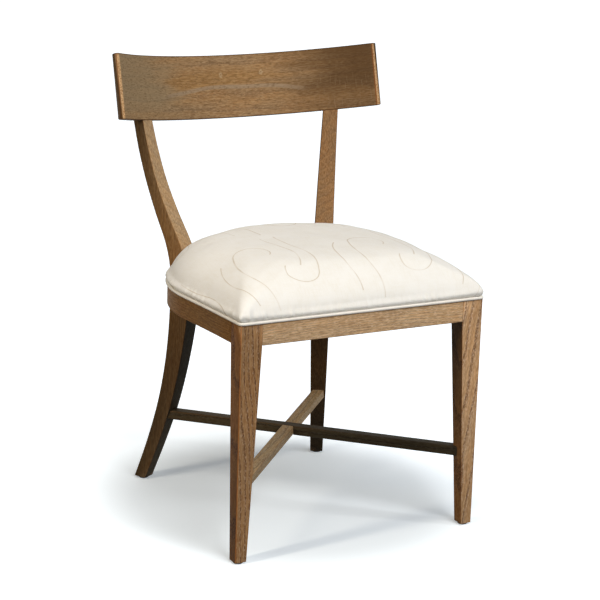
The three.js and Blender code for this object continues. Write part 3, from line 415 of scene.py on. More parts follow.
def right_leg_shade(nodes):
    """Painted shade on the inner face of the right front leg, more so towards the seat, and on its foot."""
    height = nodes.at(Z)
    inner = nodes.falls(nodes.facing(X), *LEFTWARDS)
    inner = nodes.times(inner, nodes.steps(height, *RIGHT_LEG, 0.30, 0.78))
    return nodes.most(inner, nodes.steps(height, *RIGHT_FOOT, 0.30, 0.0))


# Painted shade on the long stretcher, deeper towards its right end under the seat
def long_stretcher_shade(nodes):
    return nodes.steps(nodes.at(X), *LONG_STRETCHER, 0.0, 0.60)


# Painted shade on the front part of this stretcher
def painted_light_stretcher_shade(nodes):
    return nodes.steps(nodes.at(Y), *PAINTED_LIGHT_STRETCHER, 0.56, 0.0)


# The crest's veneer and the shade painted on it. Spans run along it from its middle (u), or up from its bottom edge
# (v).
CREST_OLIVE = srgb(139, 120, 93)
CREST_PAINTED_SHADE = srgb(80, 55, 32)
CREST_FILLER = srgb(150, 130, 108)
CREST_GOLD = srgb(168, 124, 72)
CREST_DASH = srgb(118, 82, 46)
CREST_DOT = srgb(88, 62, 38)
KNOT_RIM = srgb(186, 160, 124)
KNOT_EYE = srgb(96, 70, 46)
SCRATCH = srgb(152, 126, 98)
FLAT_PALE = srgb(214, 172, 126)
FLAT_GRIT = srgb(150, 104, 66)
VENEER_LINE = srgb(128, 74, 36)
CREST_ARRIS_SHADE = srgb(70, 46, 28)
CREST_END_SHADE = srgb(70, 54, 38)
BLOTS = (120 * MM, 36 * MM, 21.3, 2.0)
DASHES = (15 * MM, 2.4 * MM, 31.7, 1.0)
DOTS = (7 * MM, 1.9 * MM, 41.3, 1.0)
OLIVE_U, OLIVE_V = (-0.20, -0.06), (0.0, 0.045)
SHADE_U, SHADE_V = (0.05, 0.24), (0.02, 0.06)
ARCH_TOP_U = 0.02  # filler and flecks follow an arch, highest a little right of the middle
ARCH_BEND = 0.6
FILLER_U = ((-0.19, -0.12), (0.10, 0.20))
FILLER_V = ((0.0555, 0.0585), (0.0635, 0.0655))
FLECK_U = ((-0.15, -0.08), (0.02, 0.12))
FLECK_V = ((0.064, 0.068), (0.084, 0.104))
KNOTS = ((-0.009, 0.084), (0.077, 0.086))
KNOT_RADII = ((0.0040, 0.0052), (0.0058, 0.0085))
KNOT_CORE = (0.0034, 0.0050)
SCRATCH_U, SCRATCH_V = (0.14, 0.2), (0.05, 0.08)
FLAT_WIDTH = 7.0 * MM
TOP_ARRIS, BOTTOM_ARRIS = (0.1205, 0.1222), (0.0006, 0.0020)
CUT_END = (0.75, 0.92)  # turn of a normal to the side


def crest_tones(nodes, u, v, colour):
    """Olive at the left; painted shade darkens the right, where the bowed face turns from the light."""
    olive = nodes.times(nodes.falls(u, *OLIVE_U), nodes.steps(v, *OLIVE_V, 0.45, 1.0), 0.62)
    dark = nodes.times(nodes.steps(u, *SHADE_U), nodes.steps(v, *SHADE_V, 0.55, 1.0), 0.8)
    return nodes.mix(dark, nodes.mix(olive, colour, CREST_OLIVE), CREST_PAINTED_SHADE)


def crest_filler(nodes, u, loose_u, arch, colour):
    """A grey band of filler above the middle of the lower half."""
    ripple = nodes.times_plus(nodes.math("SINE", nodes.times(u, 46)), 0.0012, arch)
    band = nodes.times(nodes.band(ripple, *FILLER_V), nodes.band(loose_u, *FILLER_U), 0.55)
    return nodes.mix(band, colour, CREST_FILLER)


def crest_flecks(nodes, space, loose_u, arch, colour):
    """Golden flecks above the filler."""
    gold = nodes.times(nodes.band(arch, *FLECK_V), nodes.band(loose_u, *FLECK_U))
    dashes = nodes.steps(streaks(nodes, space, DASHES), 0.40, 0.62)
    colour = nodes.mix(nodes.times(gold, 0.45), colour, CREST_GOLD)
    return nodes.mix(nodes.times(gold, dashes, 0.5), colour, CREST_DASH)


def crest_knots(nodes, space, colour):
    ragged = nodes.noise(space, (200, 320, 200), 3.0)
    for u, v in KNOTS:
        far = nodes.vector("LENGTH", nodes.scaled(nodes.moved(space, -u, -v, 0), 1.0, 0.75, 0.0))
        far = nodes.times_plus(ragged, 0.007, far)
        colour = nodes.mix(nodes.times(nodes.band(far, *KNOT_RADII), 0.50), colour, KNOT_RIM)
        colour = nodes.mix(nodes.steps(far, *KNOT_CORE, 0.6, 0.0), colour, KNOT_EYE)
    return colour


def crest_scratches(nodes, space, u, v, colour):
    """Scratches across the grain at the right."""
    cross = nodes.steps(nodes.noise(space, (420, 26, 26), 1.0), 0.62, 0.74)
    cross = nodes.times(cross, nodes.steps(u, *SCRATCH_U), nodes.falls(v, *SCRATCH_V), 0.35)
    return nodes.mix(cross, colour, SCRATCH)


def crest_flat_ends(nodes, space, colour):
    """Paler where the ends are cut flat and face forward, with grit, and a brown veneer line on its left."""
    ahead = nodes.vector("DOT_PRODUCT", nodes.normal(), (0, -math.cos(CREST_LEAN), math.sin(CREST_LEAN)))
    x = nodes.at(X)
    flat = nodes.steps(nodes.size(x), CREST_BAND - 0.3 * MM, CREST_BAND + 0.5 * MM)
    grit = nodes.steps(nodes.noise(space, (500, 330, 500)), 0.35, 0.7)
    pale_share = nodes.times(nodes.steps(ahead, 0.80, 0.93), flat, 0.9)
    colour = nodes.mix(pale_share, colour, nodes.mix(grit, FLAT_PALE, FLAT_GRIT))
    at_right = nodes.size(nodes.minus(x, CREST_BAND - 0.2 * MM))
    at_left = nodes.size(nodes.math("ADD", x, CREST_BAND + FLAT_WIDTH))
    line = nodes.falls(nodes.math("MINIMUM", at_right, at_left), 0.5 * MM, 1.5 * MM)
    return nodes.mix(nodes.times(line, nodes.steps(ahead, 0.4, 0.6), 0.75), colour, VENEER_LINE)


# The crest's figure, knots and scratches, with painted shade at its right, along its arrises and on its ends
def crest_figure_and_shade(nodes, space, colour):
    u, v, _ = nodes.split(space)
    blot = nodes.minus(streaks(nodes, space, BLOTS), 0.5)
    loose_u = nodes.times_plus(blot, 0.22, u)
    loose_v = nodes.times_plus(blot, 0.03, v)
    off_top = nodes.minus(u, ARCH_TOP_U)
    arch = nodes.times_plus(nodes.times(off_top, off_top), ARCH_BEND, v)
    colour = crest_tones(nodes, loose_u, loose_v, colour)
    colour = crest_filler(nodes, u, loose_u, arch, colour)
    colour = crest_flecks(nodes, space, loose_u, arch, colour)
    dots = nodes.steps(streaks(nodes, space, DOTS), 0.54, 0.70)
    colour = nodes.mix(nodes.times(dots, 0.46), colour, CREST_DOT)
    colour = crest_knots(nodes, space, colour)
    colour = crest_scratches(nodes, space, u, v, colour)
    colour = crest_flat_ends(nodes, space, colour)
    # Painted shade along the rounded top and bottom arrises
    edge = nodes.most(nodes.steps(v, *TOP_ARRIS), nodes.falls(v, *BOTTOM_ARRIS))
    colour = nodes.mix(nodes.times(edge, 0.75), colour, CREST_ARRIS_SHADE)
    # Painted shade on the end faces, which turn from the light
    end = nodes.steps(nodes.size(nodes.facing(X)), *CUT_END)
    return nodes.mix(nodes.times(end, 0.6), colour, CREST_END_SHADE)


# Plain materials of the hidden pieces
def plain_wood(name, along, across, light, dark, ring):
    nodes = Nodes(bpy.data.materials.new(name))
    space = straight(along, across)(nodes)
    drift = nodes.noise(space, (4, 20, 20))
    v = nodes.split(space)[1]
    phase = nodes.math("FRACT", nodes.math("DIVIDE", nodes.times_plus(drift, 0.02, v), ring))
    fibre = nodes.noise(space, (60, 900, 900), 3.0, 0.6)
    colour = nodes.mix(nodes.steps(phase, 0.1, 0.9, 0.1, 0.6), light, dark)
    colour = nodes.mix(nodes.steps(fibre, 0.4, 0.7, 0.0, 0.4), colour, dark)
    return nodes.finish(colour, nodes.steps(fibre, 0.2, 0.8, 0.6, 0.75), nodes.bump(fibre, 0.3, 0.2 * MM))


def weave_of(nodes, thread, skew=0.0):
    """Threads in plan, whose weft follows the height down a side."""
    x, y, z = nodes.split(nodes.place())
    turn = 2 * math.pi / thread
    warp = nodes.math("SINE", nodes.times(nodes.times_plus(y, skew, x), turn))
    weft = nodes.math("SINE", nodes.times(nodes.minus(y, z), turn))
    return nodes.times(warp, weft)


def cambric(name):
    nodes = Nodes(bpy.data.materials.new(name))
    light = srgb(40, 38, 37)
    weave = weave_of(nodes, 0.8 * MM)
    slub = nodes.noise(nodes.place(), (300, 60, 60))
    colour = nodes.mix(nodes.steps(weave, -1, 1), srgb(26, 25, 24), light)
    colour = nodes.mix(nodes.steps(slub, 0.4, 0.7, 0.0, 0.5), colour, light)
    return nodes.finish(colour, nodes.steps(slub, 0.2, 0.8, 0.8, 0.92), nodes.bump(weave, 0.4, 0.15 * MM), sheen=0.05)


def plastic(name):
    nodes = Nodes(bpy.data.materials.new(name))
    grain = nodes.noise(nodes.place(), (2500, 2500, 2500))
    colour = nodes.mix(grain, srgb(20, 19, 18), srgb(34, 32, 30))
    return nodes.finish(colour, nodes.steps(grain, 0.2, 0.8, 0.4, 0.6), nodes.bump(grain, 0.3, 0.1 * MM))


def zinc(name):
    nodes = Nodes(bpy.data.materials.new(name))
    patch = nodes.noise(nodes.place(), (900, 900, 900), 3.0)
    nodes.shader.inputs["Metallic"].default_value = 0.9
    colour = nodes.mix(patch, srgb(150, 148, 140), srgb(190, 188, 180))
    return nodes.finish(colour, nodes.steps(patch, 0.2, 0.8, 0.3, 0.5))


def paint(node, material):
    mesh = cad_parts[node].data
    mesh.materials.clear()
    mesh.materials.append(material)


def link(name, mesh, material):
    piece = bpy.data.objects.new(name, mesh)
    bpy.context.scene.collection.objects.link(piece)
    mesh.materials.clear()
    mesh.materials.append(material)
    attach(piece, ROOT)
    return piece


def smooth(mesh, angle=50):
    for face in mesh.polygons:
        face.use_smooth = True
    mesh.set_sharp_from_angle(angle=math.radians(angle))


def welded(mesh):
    """A working form of a CAD mesh, with its doubled points merged."""
    form = bmesh.new()
    form.from_mesh(mesh)
    bmesh.ops.remove_doubles(form, verts=form.verts, dist=0.01 * MM)
    return form


def everything(form):
    return form.verts[:] + form.edges[:] + form.faces[:]


def written(form, mesh):
    form.to_mesh(mesh)
    form.free()
    return mesh


def dressed(node, material):
    """A node's own form, with its small bevels shaded round."""
    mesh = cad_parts[node].data.copy()
    smooth(written(welded(mesh), mesh))
    piece = link(node + "_finished", mesh, material)
    weighted = piece.modifiers.new("weighted", "WEIGHTED_NORMAL")
    weighted.keep_sharp = True
    weighted.weight = 50
    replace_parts(piece, node)


# Wood: each member's board, its tree's heart, rings, tone, and the crest's figure and painted shade
RAIL_HEART = (0.36, 0.05)
SIDE_RAIL = dict(board=side_bow, pith=RAIL_HEART, ring=4 * MM, tone=(1.05, 1.14, 1.02), wander=22 * MM, pores=0.42)
REAR_POST = dict(board=straight((0, 0, 1), (1, 0, 0)), ring=8 * MM, wander=14 * MM, pores=0.22)
STRETCHER = dict(pith=(0.2, 0.05), ring=7 * MM, wander=10 * MM, pores=0.6)
OAKS = {
    "crest_rail": dict(
        board=crest_bow, pith=(-0.10, 0.06), ring=21 * MM, seed=1.7, tone=(0.99, 1.04, 1.06), wander=30 * MM,
        pores=0.22, figure_and_shade=crest_figure_and_shade),
    "front_seat_rail": dict(
        board=straight((1, 0, 0), (0, 0, 1)), pith=(RAIL_HEART[0], RAIL_HEART[1] - FRONT_Y), ring=4 * MM, seed=3.1,
        tone=(2.05, 2.34, 2.75), wander=22 * MM, pores=0.42),
    "back_seat_rail": dict(
        board=back_bow, pith=RAIL_HEART, ring=5 * MM, seed=8.3, tone=(0.9, 0.9, 0.9), wander=8 * MM),
    "left_front_leg": dict(
        board=straight((-0.02, 0, 1), (1, 0, 0)), pith=(-0.150, FRONT_Y + 0.006), ring=9 * MM, seed=4.4,
        tone=(1.08, 1.04, 1.00), wander=24 * MM, pores=0.85, arris=(-HALF_WIDTH, FRONT_Y), shade=left_leg_shade),
    "right_front_leg": dict(
        board=straight((0.12, 0, 1), (1, 0, 0)), pith=(0.120, FRONT_Y + 0.004), ring=18 * MM, seed=6.2,
        tone=(1.86, 1.97, 2.18), wander=12 * MM, pores=0.75, arris=(HALF_WIDTH, FRONT_Y), shade=right_leg_shade),
    "left_rear_post": dict(
        REAR_POST, pith=(-0.10, -0.40), seed=5.9, tone=(1.36, 1.55, 1.76), shade=post_shade(0.34, 0.40)),
    "right_rear_post": dict(
        REAR_POST, pith=(0.10, -0.40), seed=7.4, tone=(0.83, 0.80, 0.76), shade=post_shade(0.05, 0.34)),
    "left_side_seat_rail": dict(SIDE_RAIL, seed=9.1),
    "right_side_seat_rail": dict(SIDE_RAIL, seed=11.6),
    # Its bright tone is painted light, standing for light on its rear part
    "stretcher_left_front_to_right_rear": dict(
        STRETCHER, board=straight((0.69, 0.724, 0), (0, 0, 1)), seed=34.69, tone=(1.80, 2.10, 2.30),
        shade=painted_light_stretcher_shade),
    # Its dark tone is painted shade as well
    "stretcher_right_front_to_left_rear": dict(
        STRETCHER, board=straight((-0.69, 0.724, 0), (0, 0, 1)), seed=33.31, tone=(0.26, 0.33, 0.38),
        shade=long_stretcher_shade),
}
OAK_MATERIALS = {node: oak(node + "_oak", **look) for node, look in OAKS.items()}
for node, material in OAK_MATERIALS.items():
    dressed(node, material)
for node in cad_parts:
    if "crest_plug" in node:
        paint(node, OAK_MATERIALS["crest_rail"])

# Hidden pieces
BEECH = plain_wood("beech", (1, 0, 0), (0, 1, 0), srgb(196, 160, 116), srgb(168, 128, 84), 4 * MM)
PLYWOOD = plain_wood("plywood", (0, 1, 0), (1, 0, 0), srgb(204, 174, 128), srgb(182, 148, 100), 12 * MM)
ZINC = zinc("zinc")
GLIDE = plastic("glide_nylon")
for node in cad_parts:
    if "corner_block" in node:
        paint(node, BEECH)
    elif "screw" in node:
        paint(node, ZINC)
    elif "glide" in node:
        dressed(node, GLIDE)
paint("seat_board", PLYWOOD)


# Outline of the seat in plan, as the rails have it
FRONT_STEPS, CORNER_STEPS, BEND_STEPS, SIDE_STEPS, BACK_STEPS = 60, 8, 54, 50, 46
FRONT_CORNER = 8 * MM


def arc_points(centre_y, radius, start, stop, count):
    turns = [start + (stop - start) * i / count for i in range(count + 1)]
    return [Vector((radius * math.cos(turn), centre_y + radius * math.sin(turn))) for turn in turns]


def seat_outline(inset, corner=FRONT_CORNER, finer=1):
    """Closed run of plan points, anticlockwise from the middle of the front. Every inset has as many points."""
    side = SIDE_RADIUS - inset
    back = BACK_RADIUS - inset
    between = SIDE_ARC_Y - BACK_ARC_Y
    along = (back**2 - side**2 + between**2) / (2 * between)
    meeting = math.sqrt(back**2 - along**2)
    straight_end = HALF_WIDTH - inset - corner
    steps = FRONT_STEPS * finer
    half = [Vector((straight_end * i / steps, FRONT_Y + inset)) for i in range(steps)]
    for i in range(CORNER_STEPS + 1):
        turn = -math.pi / 2 + math.pi / 2 * i / CORNER_STEPS
        half.append(Vector((straight_end + corner * math.cos(turn), FRONT_Y + inset + corner * (1 + math.sin(turn)))))
    ends = [Vector((HALF_WIDTH - inset, FRONT_Y + inset + corner)), Vector((HALF_WIDTH - inset, SIDE_STRAIGHT_END)),
            Vector((side, SIDE_ARC_START)), Vector((side, SIDE_ARC_Y))]
    steps = BEND_STEPS * finer
    for i in range(1, steps + 1):
        t = i / steps
        weights = ((1 - t) ** 3, 3 * t * (1 - t) ** 2, 3 * t * t * (1 - t), t**3)
        half.append(sum((w * p for w, p in zip(weights, ends)), Vector((0, 0))))
    half += arc_points(SIDE_ARC_Y, side, 0, math.atan2(along - between, meeting), SIDE_STEPS * finer)[1:]
    half += arc_points(BACK_ARC_Y, back, math.atan2(along, meeting), math.pi / 2, BACK_STEPS * finer)[1:]
    return half + [Vector((-p.x, p.y)) for p in reversed(half[1:-1])]


# Cushion: its crown lies a little left of the middle. Rises are heights over the rail, and spans of rise are pairs.
CROWN_CENTRE = Vector((-14.8 * MM, FRONT_Y + 0.215))
CROWN_HEIGHT = 90.7 * MM
CROWN_POWER = 4.1
CROWN_ROUNDNESS = 2.07
CROWN_BLEND = 1.55
CROWN_REACH = 275.7 * MM
OVERHANG = 3.6 * MM
COVER_TUCK = 6.6 * MM
TUCK_RINGS = ((COVER_TUCK, 0.3 * MM), (COVER_TUCK, 2.5 * MM), (3.0 * MM, 4.4 * MM), (0.6 * MM, 5.8 * MM))  # inset, rise
SHOULDER_RISES = [rise * MM for rise in (8, 11, 14.5, 18.5, 23, 28, 34, 41, 49)]
TOP_SHARE, TOP_RINGS = 0.9, 22  # rings over the top, the outermost at this share of the outline
FOOT_CORNER, TOP_CORNER, CORNER_GROWTH = 10 * MM, 50 * MM, 0.12  # plan radii, and the share over which they grow
CORNER_FULLNESS, FULL_REACH = 5.6 * MM, 58 * MM  # each way, and how far from the corner it is felt
FULL_FROM, FULL_UNTIL = (3 * MM, 12 * MM), (32 * MM, 72 * MM)
FOOT = (  # rise, how far out
    (2.5 * MM, -COVER_TUCK), (5.0 * MM, -2.2 * MM), (6.2 * MM, -0.2 * MM), (8.5 * MM, 1.9 * MM), (13 * MM, OVERHANG))
FOOT_LOWEST, FOOT_INNERMOST, FOOT_BLEND = 1.5 * MM, -12 * MM, (9 * MM, 22 * MM)
GATHER_DEPTH, GATHER_SIZE = 3.3 * MM, (7 * MM, 90 * MM)  # sizes are along the welt and up, or in x and y
GATHER_DRIFT = (80 * MM, 80 * MM)
GATHER_FROM, GATHER_UNTIL = (6 * MM, 9 * MM), (9 * MM, 30 * MM)
DENT_DEPTH, DENT_FROM = 1.3 * MM, (20 * MM, 60 * MM)
DENT_SIZE, SMALL_DENT_SIZE = (70 * MM, 60 * MM), (34 * MM, 30 * MM)
FOLD_INSET, FOLD_WIDTH, FOLD_DEPTH, FOLD_UNTIL = 5 * MM, 1.9 * MM, 1.1 * MM, (12 * MM, 20 * MM)
FOLD_STRIP = 12 * MM  # back from the front
SHRINK = 1.2 * MM  # before the swelling
VOXEL = 5.5 * MM
PRESSURE = 4
SWELL_FRAMES = 20
SWELL_CAP = 3.5 * MM
HELD_FOOT = 9 * MM
CALM_PASSES = 8
POST_GAP = 2.0 * MM
POST_CUT_LOW, POST_CUT_HIGH = 2 * MM, 150 * MM
POST_CUT_DROP = 12 * MM  # the lower cut then moves down past the hem
BOARD_FIT = 0.2 * MM
HEM_REACH, HEM_DEPTH, HEM_LAP = 28 * MM, 5 * MM, 0.1 * MM  # the lap runs into the board's own space


def dome_share(rise):
    """How far out the dome reaches at a height over the rail, as a share of its outline."""
    return (1 - (rise / CROWN_HEIGHT) ** CROWN_ROUNDNESS) ** (1 / CROWN_POWER)


def eased(value, low, high):
    share = min(1.0, max(0.0, (value - low) / (high - low)))
    return share * share * (3 - 2 * share)


def cushion_rings(shrink):
    """Rings from the tuck under the welt up to the crown. The corners grow rounder towards the crown."""
    rings = []
    for inset, rise in TUCK_RINGS:
        rings.append([(p.x, p.y, RAIL_TOP + rise) for p in seat_outline(inset + shrink)])
    shares = [dome_share(rise) for rise in SHOULDER_RISES]
    shares += [TOP_SHARE * math.sin(math.pi / 2 * i / TOP_RINGS) for i in range(TOP_RINGS, 0, -1)]
    for share in shares:
        rise = CROWN_HEIGHT * (1 - share**CROWN_POWER) ** (1 / CROWN_ROUNDNESS)
        roundness = 1 - share**CROWN_BLEND
        corner_radius = FOOT_CORNER + (TOP_CORNER - FOOT_CORNER) * min(1.0, (1 - share) / CORNER_GROWTH)
        fullness = CORNER_FULLNESS * eased(rise, *FULL_FROM) * (1 - eased(rise, *FULL_UNTIL))
        ring = []
        for p in seat_outline(shrink - OVERHANG, corner_radius):
            arm = p - CROWN_CENTRE
            reach = arm.length
            arm *= share * (reach + (min(reach, CROWN_REACH) - reach) * roundness) / reach
            place = CROWN_CENTRE + arm
            corner = Vector((math.copysign(HALF_WIDTH, p.x), FRONT_Y))
            full = fullness * math.exp(-((place - corner).length / FULL_REACH) ** 2)
            ring.append((place.x + math.copysign(full, p.x), place.y - full, RAIL_TOP + rise - shrink))
        rings.append(ring)
    return rings


def foot_offset(rise):
    """How far outside the outline the cover runs, close above the welt."""
    for (low, start), (high, end) in zip(FOOT, FOOT[1:]):
        if rise < high:
            return start + (end - start) * max(0.0, (rise - low) / (high - low))
    return FOOT[-1][1]


def bumps(along, across, size, seed):
    return noise.noise(Vector((along / size[0], across / size[1], seed)))


def creased(mesh):
    """Shallow dents over the dome, small gathers above the welt, and a short fold at each front corner."""
    line = seat_outline(0, finer=2)
    near = kdtree.KDTree(len(line))
    travel = [0.0]
    for i, p in enumerate(line):
        near.insert((p.x, p.y, 0), i)
        travel.append(travel[-1] + (line[(i + 1) % len(line)] - p).length)
    near.balance()
    moves = []
    for vertex in mesh.vertices:
        x, y, z = vertex.co
        rise = z - RAIL_TOP
        nearest = near.find((x, y, 0))[1]
        along = travel[nearest]
        above_welt = eased(rise, *GATHER_FROM)
        gather = bumps(along, rise, GATHER_SIZE, 3.1) * (0.7 + 0.9 * bumps(along, 0, GATHER_DRIFT, 9.2))
        dents = bumps(x, y, DENT_SIZE, 5.5) + 0.5 * bumps(x, y, SMALL_DENT_SIZE, 1.5)
        move = GATHER_DEPTH * gather * above_welt * (1 - eased(rise, *GATHER_UNTIL))
        move += DENT_DEPTH * dents * eased(rise, *DENT_FROM)
        if y < FRONT_Y + FOLD_STRIP:
            fold = (HALF_WIDTH - FOLD_INSET - abs(x)) / FOLD_WIDTH
            move -= FOLD_DEPTH * math.exp(-fold * fold) * above_welt * (1 - eased(rise, *FOLD_UNTIL))
        ahead = (line[(nearest + 1) % len(line)] - line[nearest - 1]).normalized()
        out = Vector((ahead.y, -ahead.x))
        offset = (Vector((x, y)) - line[nearest]).dot(out)
        tuck = 0
        if rise > FOOT_LOWEST and offset > FOOT_INNERMOST:
            tuck = (foot_offset(rise) - offset) * (1 - eased(rise, *FOOT_BLEND))
        moves.append(vertex.normal * move + Vector((out.x * tuck, out.y * tuck, 0)))
    for vertex, move in zip(mesh.vertices, moves):
        vertex.co += move
    return mesh


def walls(count, points):
    """Faces between each ring of count points and the next."""
    return [(low + i, low + (i + 1) % count, low + count + (i + 1) % count, low + count + i)
            for low in range(0, points - count, count) for i in range(count)]


def ring_mesh(name, rings):
    """A closed form: the first ring is capped flat, the last one runs in to its middle."""
    mesh = bpy.data.meshes.new(name)
    count = len(rings[0])
    points = [p for ring in rings for p in ring]
    top = len(points)
    faces = [tuple(reversed(range(count)))] + walls(count, top)
    faces += [(top - count + i, top - count + (i + 1) % count, top) for i in range(count)]
    points.append(tuple(sum(p[axis] for p in rings[-1]) / count for axis in range(3)))
    mesh.from_pydata(points, [], faces)
    mesh.validate()
    return mesh


def prism_mesh(name, outline, low, high):
    count = len(outline)
    points = [(p.x, p.y, z) for z in (low, high) for p in outline]
    mesh = bpy.data.meshes.new(name)
    mesh.from_pydata(
        points, [], [tuple(reversed(range(count))), tuple(range(count, 2 * count))] + walls(count, 2 * count))
    return mesh


def scratch(name, mesh):
    thing = bpy.data.objects.new(name, mesh)
    bpy.context.scene.collection.objects.link(thing)
    return thing


def applied(thing):
    """The mesh of an object with its modifiers run; the object goes."""
    graph = bpy.context.evaluated_depsgraph_get()
    mesh = bpy.data.meshes.new_from_object(thing.evaluated_get(graph))
    bpy.data.objects.remove(thing)
    return mesh


def swollen(mesh):
    """Fills the cushion with a little pressure. The foot stays, and no point moves further than the cap."""
    thing = scratch("cushion_work", mesh)
    remesh = thing.modifiers.new("even", "REMESH")
    remesh.mode = "VOXEL"
    remesh.voxel_size = VOXEL
    even = applied(thing)
    thing = scratch("cushion_cloth", even)
    group = thing.vertex_groups.new(name="foot")
    group.add([v.index for v in even.vertices if v.co.z < RAIL_TOP + HELD_FOOT], 1.0, "REPLACE")
    filling = thing.modifiers.new("cloth", "CLOTH")
    filling.collision_settings.use_self_collision = False
    for setting, value in (
            ("quality", 5), ("use_pressure", True), ("uniform_pressure_force", PRESSURE),
            ("vertex_group_mass", "foot"), ("tension_stiffness", 12), ("bending_stiffness", 0.6)):
        setattr(filling.settings, setting, value)
    filling.settings.effector_weights.gravity = 0
    for moment in range(1, SWELL_FRAMES + 1):
        bpy.context.scene.frame_set(moment)
    starts = [v.co.copy() for v in even.vertices]
    after = applied(thing)
    bpy.context.scene.frame_set(1)
    for vertex, start in zip(after.vertices, starts):
        step = vertex.co - start
        if step.length > SWELL_CAP:
            vertex.co = start + step * (SWELL_CAP / step.length)
    thing = scratch("cushion_fine", after)
    calm = thing.modifiers.new("calm", "SMOOTH")
    calm.factor = 0.5
    calm.iterations = CALM_PASSES
    thing.modifiers.new("finer", "SUBSURF").levels = 1
    return applied(thing)


def post_cutter(node):
    """The post where it passes the cushion, a little larger all round."""
    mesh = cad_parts[node].data.copy()
    form = welded(mesh)
    for rise, above in ((POST_CUT_LOW, False), (POST_CUT_HIGH, True)):
        cut = bmesh.ops.bisect_plane(
            form, geom=everything(form), plane_co=(0, 0, RAIL_TOP + rise), plane_no=(0, 0, 1),
            clear_inner=not above, clear_outer=above)
        bmesh.ops.contextual_create(form, geom=[e for e in cut["geom_cut"] if isinstance(e, bmesh.types.BMEdge)])
    bmesh.ops.recalc_face_normals(form, faces=form.faces)
    form.normal_update()
    for vertex, normal in [(v, v.normal.copy()) for v in form.verts]:
        level = Vector((normal.x, normal.y, 0))
        if level.length > 0.01:
            vertex.co += level.normalized() * POST_GAP
        if vertex.co.z < RAIL_TOP + 2 * POST_CUT_LOW:
            vertex.co.z -= POST_CUT_DROP
    return written(form, mesh)


def cut_away(mesh, cutters):
    thing = scratch("cushion_cut", mesh)
    tools = [scratch("cutter", cutter) for cutter in cutters]
    for tool in tools:
        cut = thing.modifiers.new("cut", "BOOLEAN")
        cut.operation = "DIFFERENCE"
        cut.solver = "MANIFOLD"
        cut.object = tool
    made = applied(thing)
    for tool in tools:
        bpy.data.objects.remove(tool)
    return made


def make_cushion(material):
    mesh = creased(swollen(ring_mesh("cushion", cushion_rings(SHRINK))))
    board_low, board_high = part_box("seat_board")
    board_inset = SIDE_RADIUS - board_high.x - BOARD_FIT
    mesh = cut_away(mesh, [
        post_cutter("left_rear_post"),
        post_cutter("right_rear_post"),
        prism_mesh("board_space", seat_outline(board_inset), board_low.z, board_high.z),
        prism_mesh("hem_opening", seat_outline(HEM_REACH), RAIL_TOP - HEM_DEPTH, board_low.z + HEM_LAP)])
    smooth(mesh, 60)
    cushion = link("seat_cushion", mesh, material)
    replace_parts(cushion, "seat_cover", "seat_foam")


# The cover's faint scroll: runs of arcs from (x, y) in a heading, each a radius, left where positive, and an angle
SCROLL_REPEAT = (0.185, 0.235)
SCROLL_SCALE = 1.28
SCROLL_SHIFT = (0.02, 0.05, 0)
SCROLL_LINE = 1.3 * MM
SHOULDER_RISE = 70 * MM  # below it the pattern is drawn out down the sides
SCROLLS = (
    (-0.045, -0.108, 84, ((0.26, 16), (-0.15, 34), (-0.026, 200))),
    (0.058, 0.110, 262, ((0.24, 18), (-0.13, 36), (-0.024, 190))),
    (0.034, 0.106, 268, ((0.20, 16), (-0.10, 44))),
    (-0.078, -0.090, 88, ((0.22, 14), (-0.10, 52))),
)


def scroll_arcs():
    """Centre, radius, middle direction and half angle of every arc."""
    arcs = []
    for x, y, heading, runs in SCROLLS:
        heading = math.radians(heading)
        for radius, angle in runs:
            side = 1 if radius > 0 else -1
            radius = abs(radius)
            angle = math.radians(angle)
            centre = Vector((x - side * radius * math.sin(heading), y + side * radius * math.cos(heading)))
            start = math.atan2(y - centre.y, x - centre.x)
            end = start + side * angle
            arcs.append((centre, radius, (start + end) / 2, angle / 2))
            x = centre.x + radius * math.cos(end)
            y = centre.y + radius * math.sin(end)
            heading += side * angle
    return arcs


def unrolled(nodes):
    """Plan place on the cushion, drawn out where the cover falls away to its sides."""
    x, y, z = nodes.split(nodes.place())
    along = nodes.math("DIVIDE", x, HALF_WIDTH)
    across = nodes.math("DIVIDE", nodes.minus(y, CROWN_CENTRE.y), HALF_WIDTH)
    cubes = [nodes.times(side, side, side) for side in (along, across)]
    out = nodes.vector("NORMALIZE", nodes.join(*cubes, 0.0))
    fall = nodes.most(nodes.minus(RAIL_TOP + SHOULDER_RISE, z), 0.0)
    spread = nodes.vector("MULTIPLY", out, nodes.join(fall, fall, 0.0))
    return nodes.vector("ADD", nodes.join(x, y, 0.0), spread)


def scroll(nodes):
    """The lines' share: every second row of the repeat is shifted by half."""
    place = nodes.scaled(nodes.moved(unrolled(nodes), *SCROLL_SHIFT), 1 / SCROLL_SCALE, 1 / SCROLL_SCALE, 1)
    x, y, _ = nodes.split(place)
    wide, tall = SCROLL_REPEAT
    row = nodes.math("FLOOR", nodes.math("DIVIDE", y, tall))
    shift = nodes.times(nodes.math("FLOORED_MODULO", row, 2.0), wide / 2)
    x = nodes.math("WRAP", nodes.math("ADD", x, shift), wide / 2, -wide / 2)
    y = nodes.minus(nodes.minus(y, nodes.times(row, tall)), tall / 2)
    place = nodes.join(x, y, 0.0)
    lines = []
    for centre, radius, middle, half in scroll_arcs():
        arm = nodes.vector("SUBTRACT", place, (centre.x, centre.y, 0))
        reach = nodes.vector("LENGTH", arm)
        off = nodes.size(nodes.minus(reach, radius))
        facing = nodes.vector("DOT_PRODUCT", arm, (math.cos(middle), math.sin(middle), 0))
        within = nodes.math("GREATER_THAN", nodes.math("DIVIDE", facing, reach), math.cos(half))
        lines.append(nodes.times(nodes.falls(off, 0.4 * SCROLL_LINE, SCROLL_LINE), within))
    patchy = nodes.noise(nodes.place(), (22, 22, 22), 1.0)
    return nodes.times(nodes.most(*lines), nodes.steps(patchy, 0.30, 0.62, 0.35, 1.0))


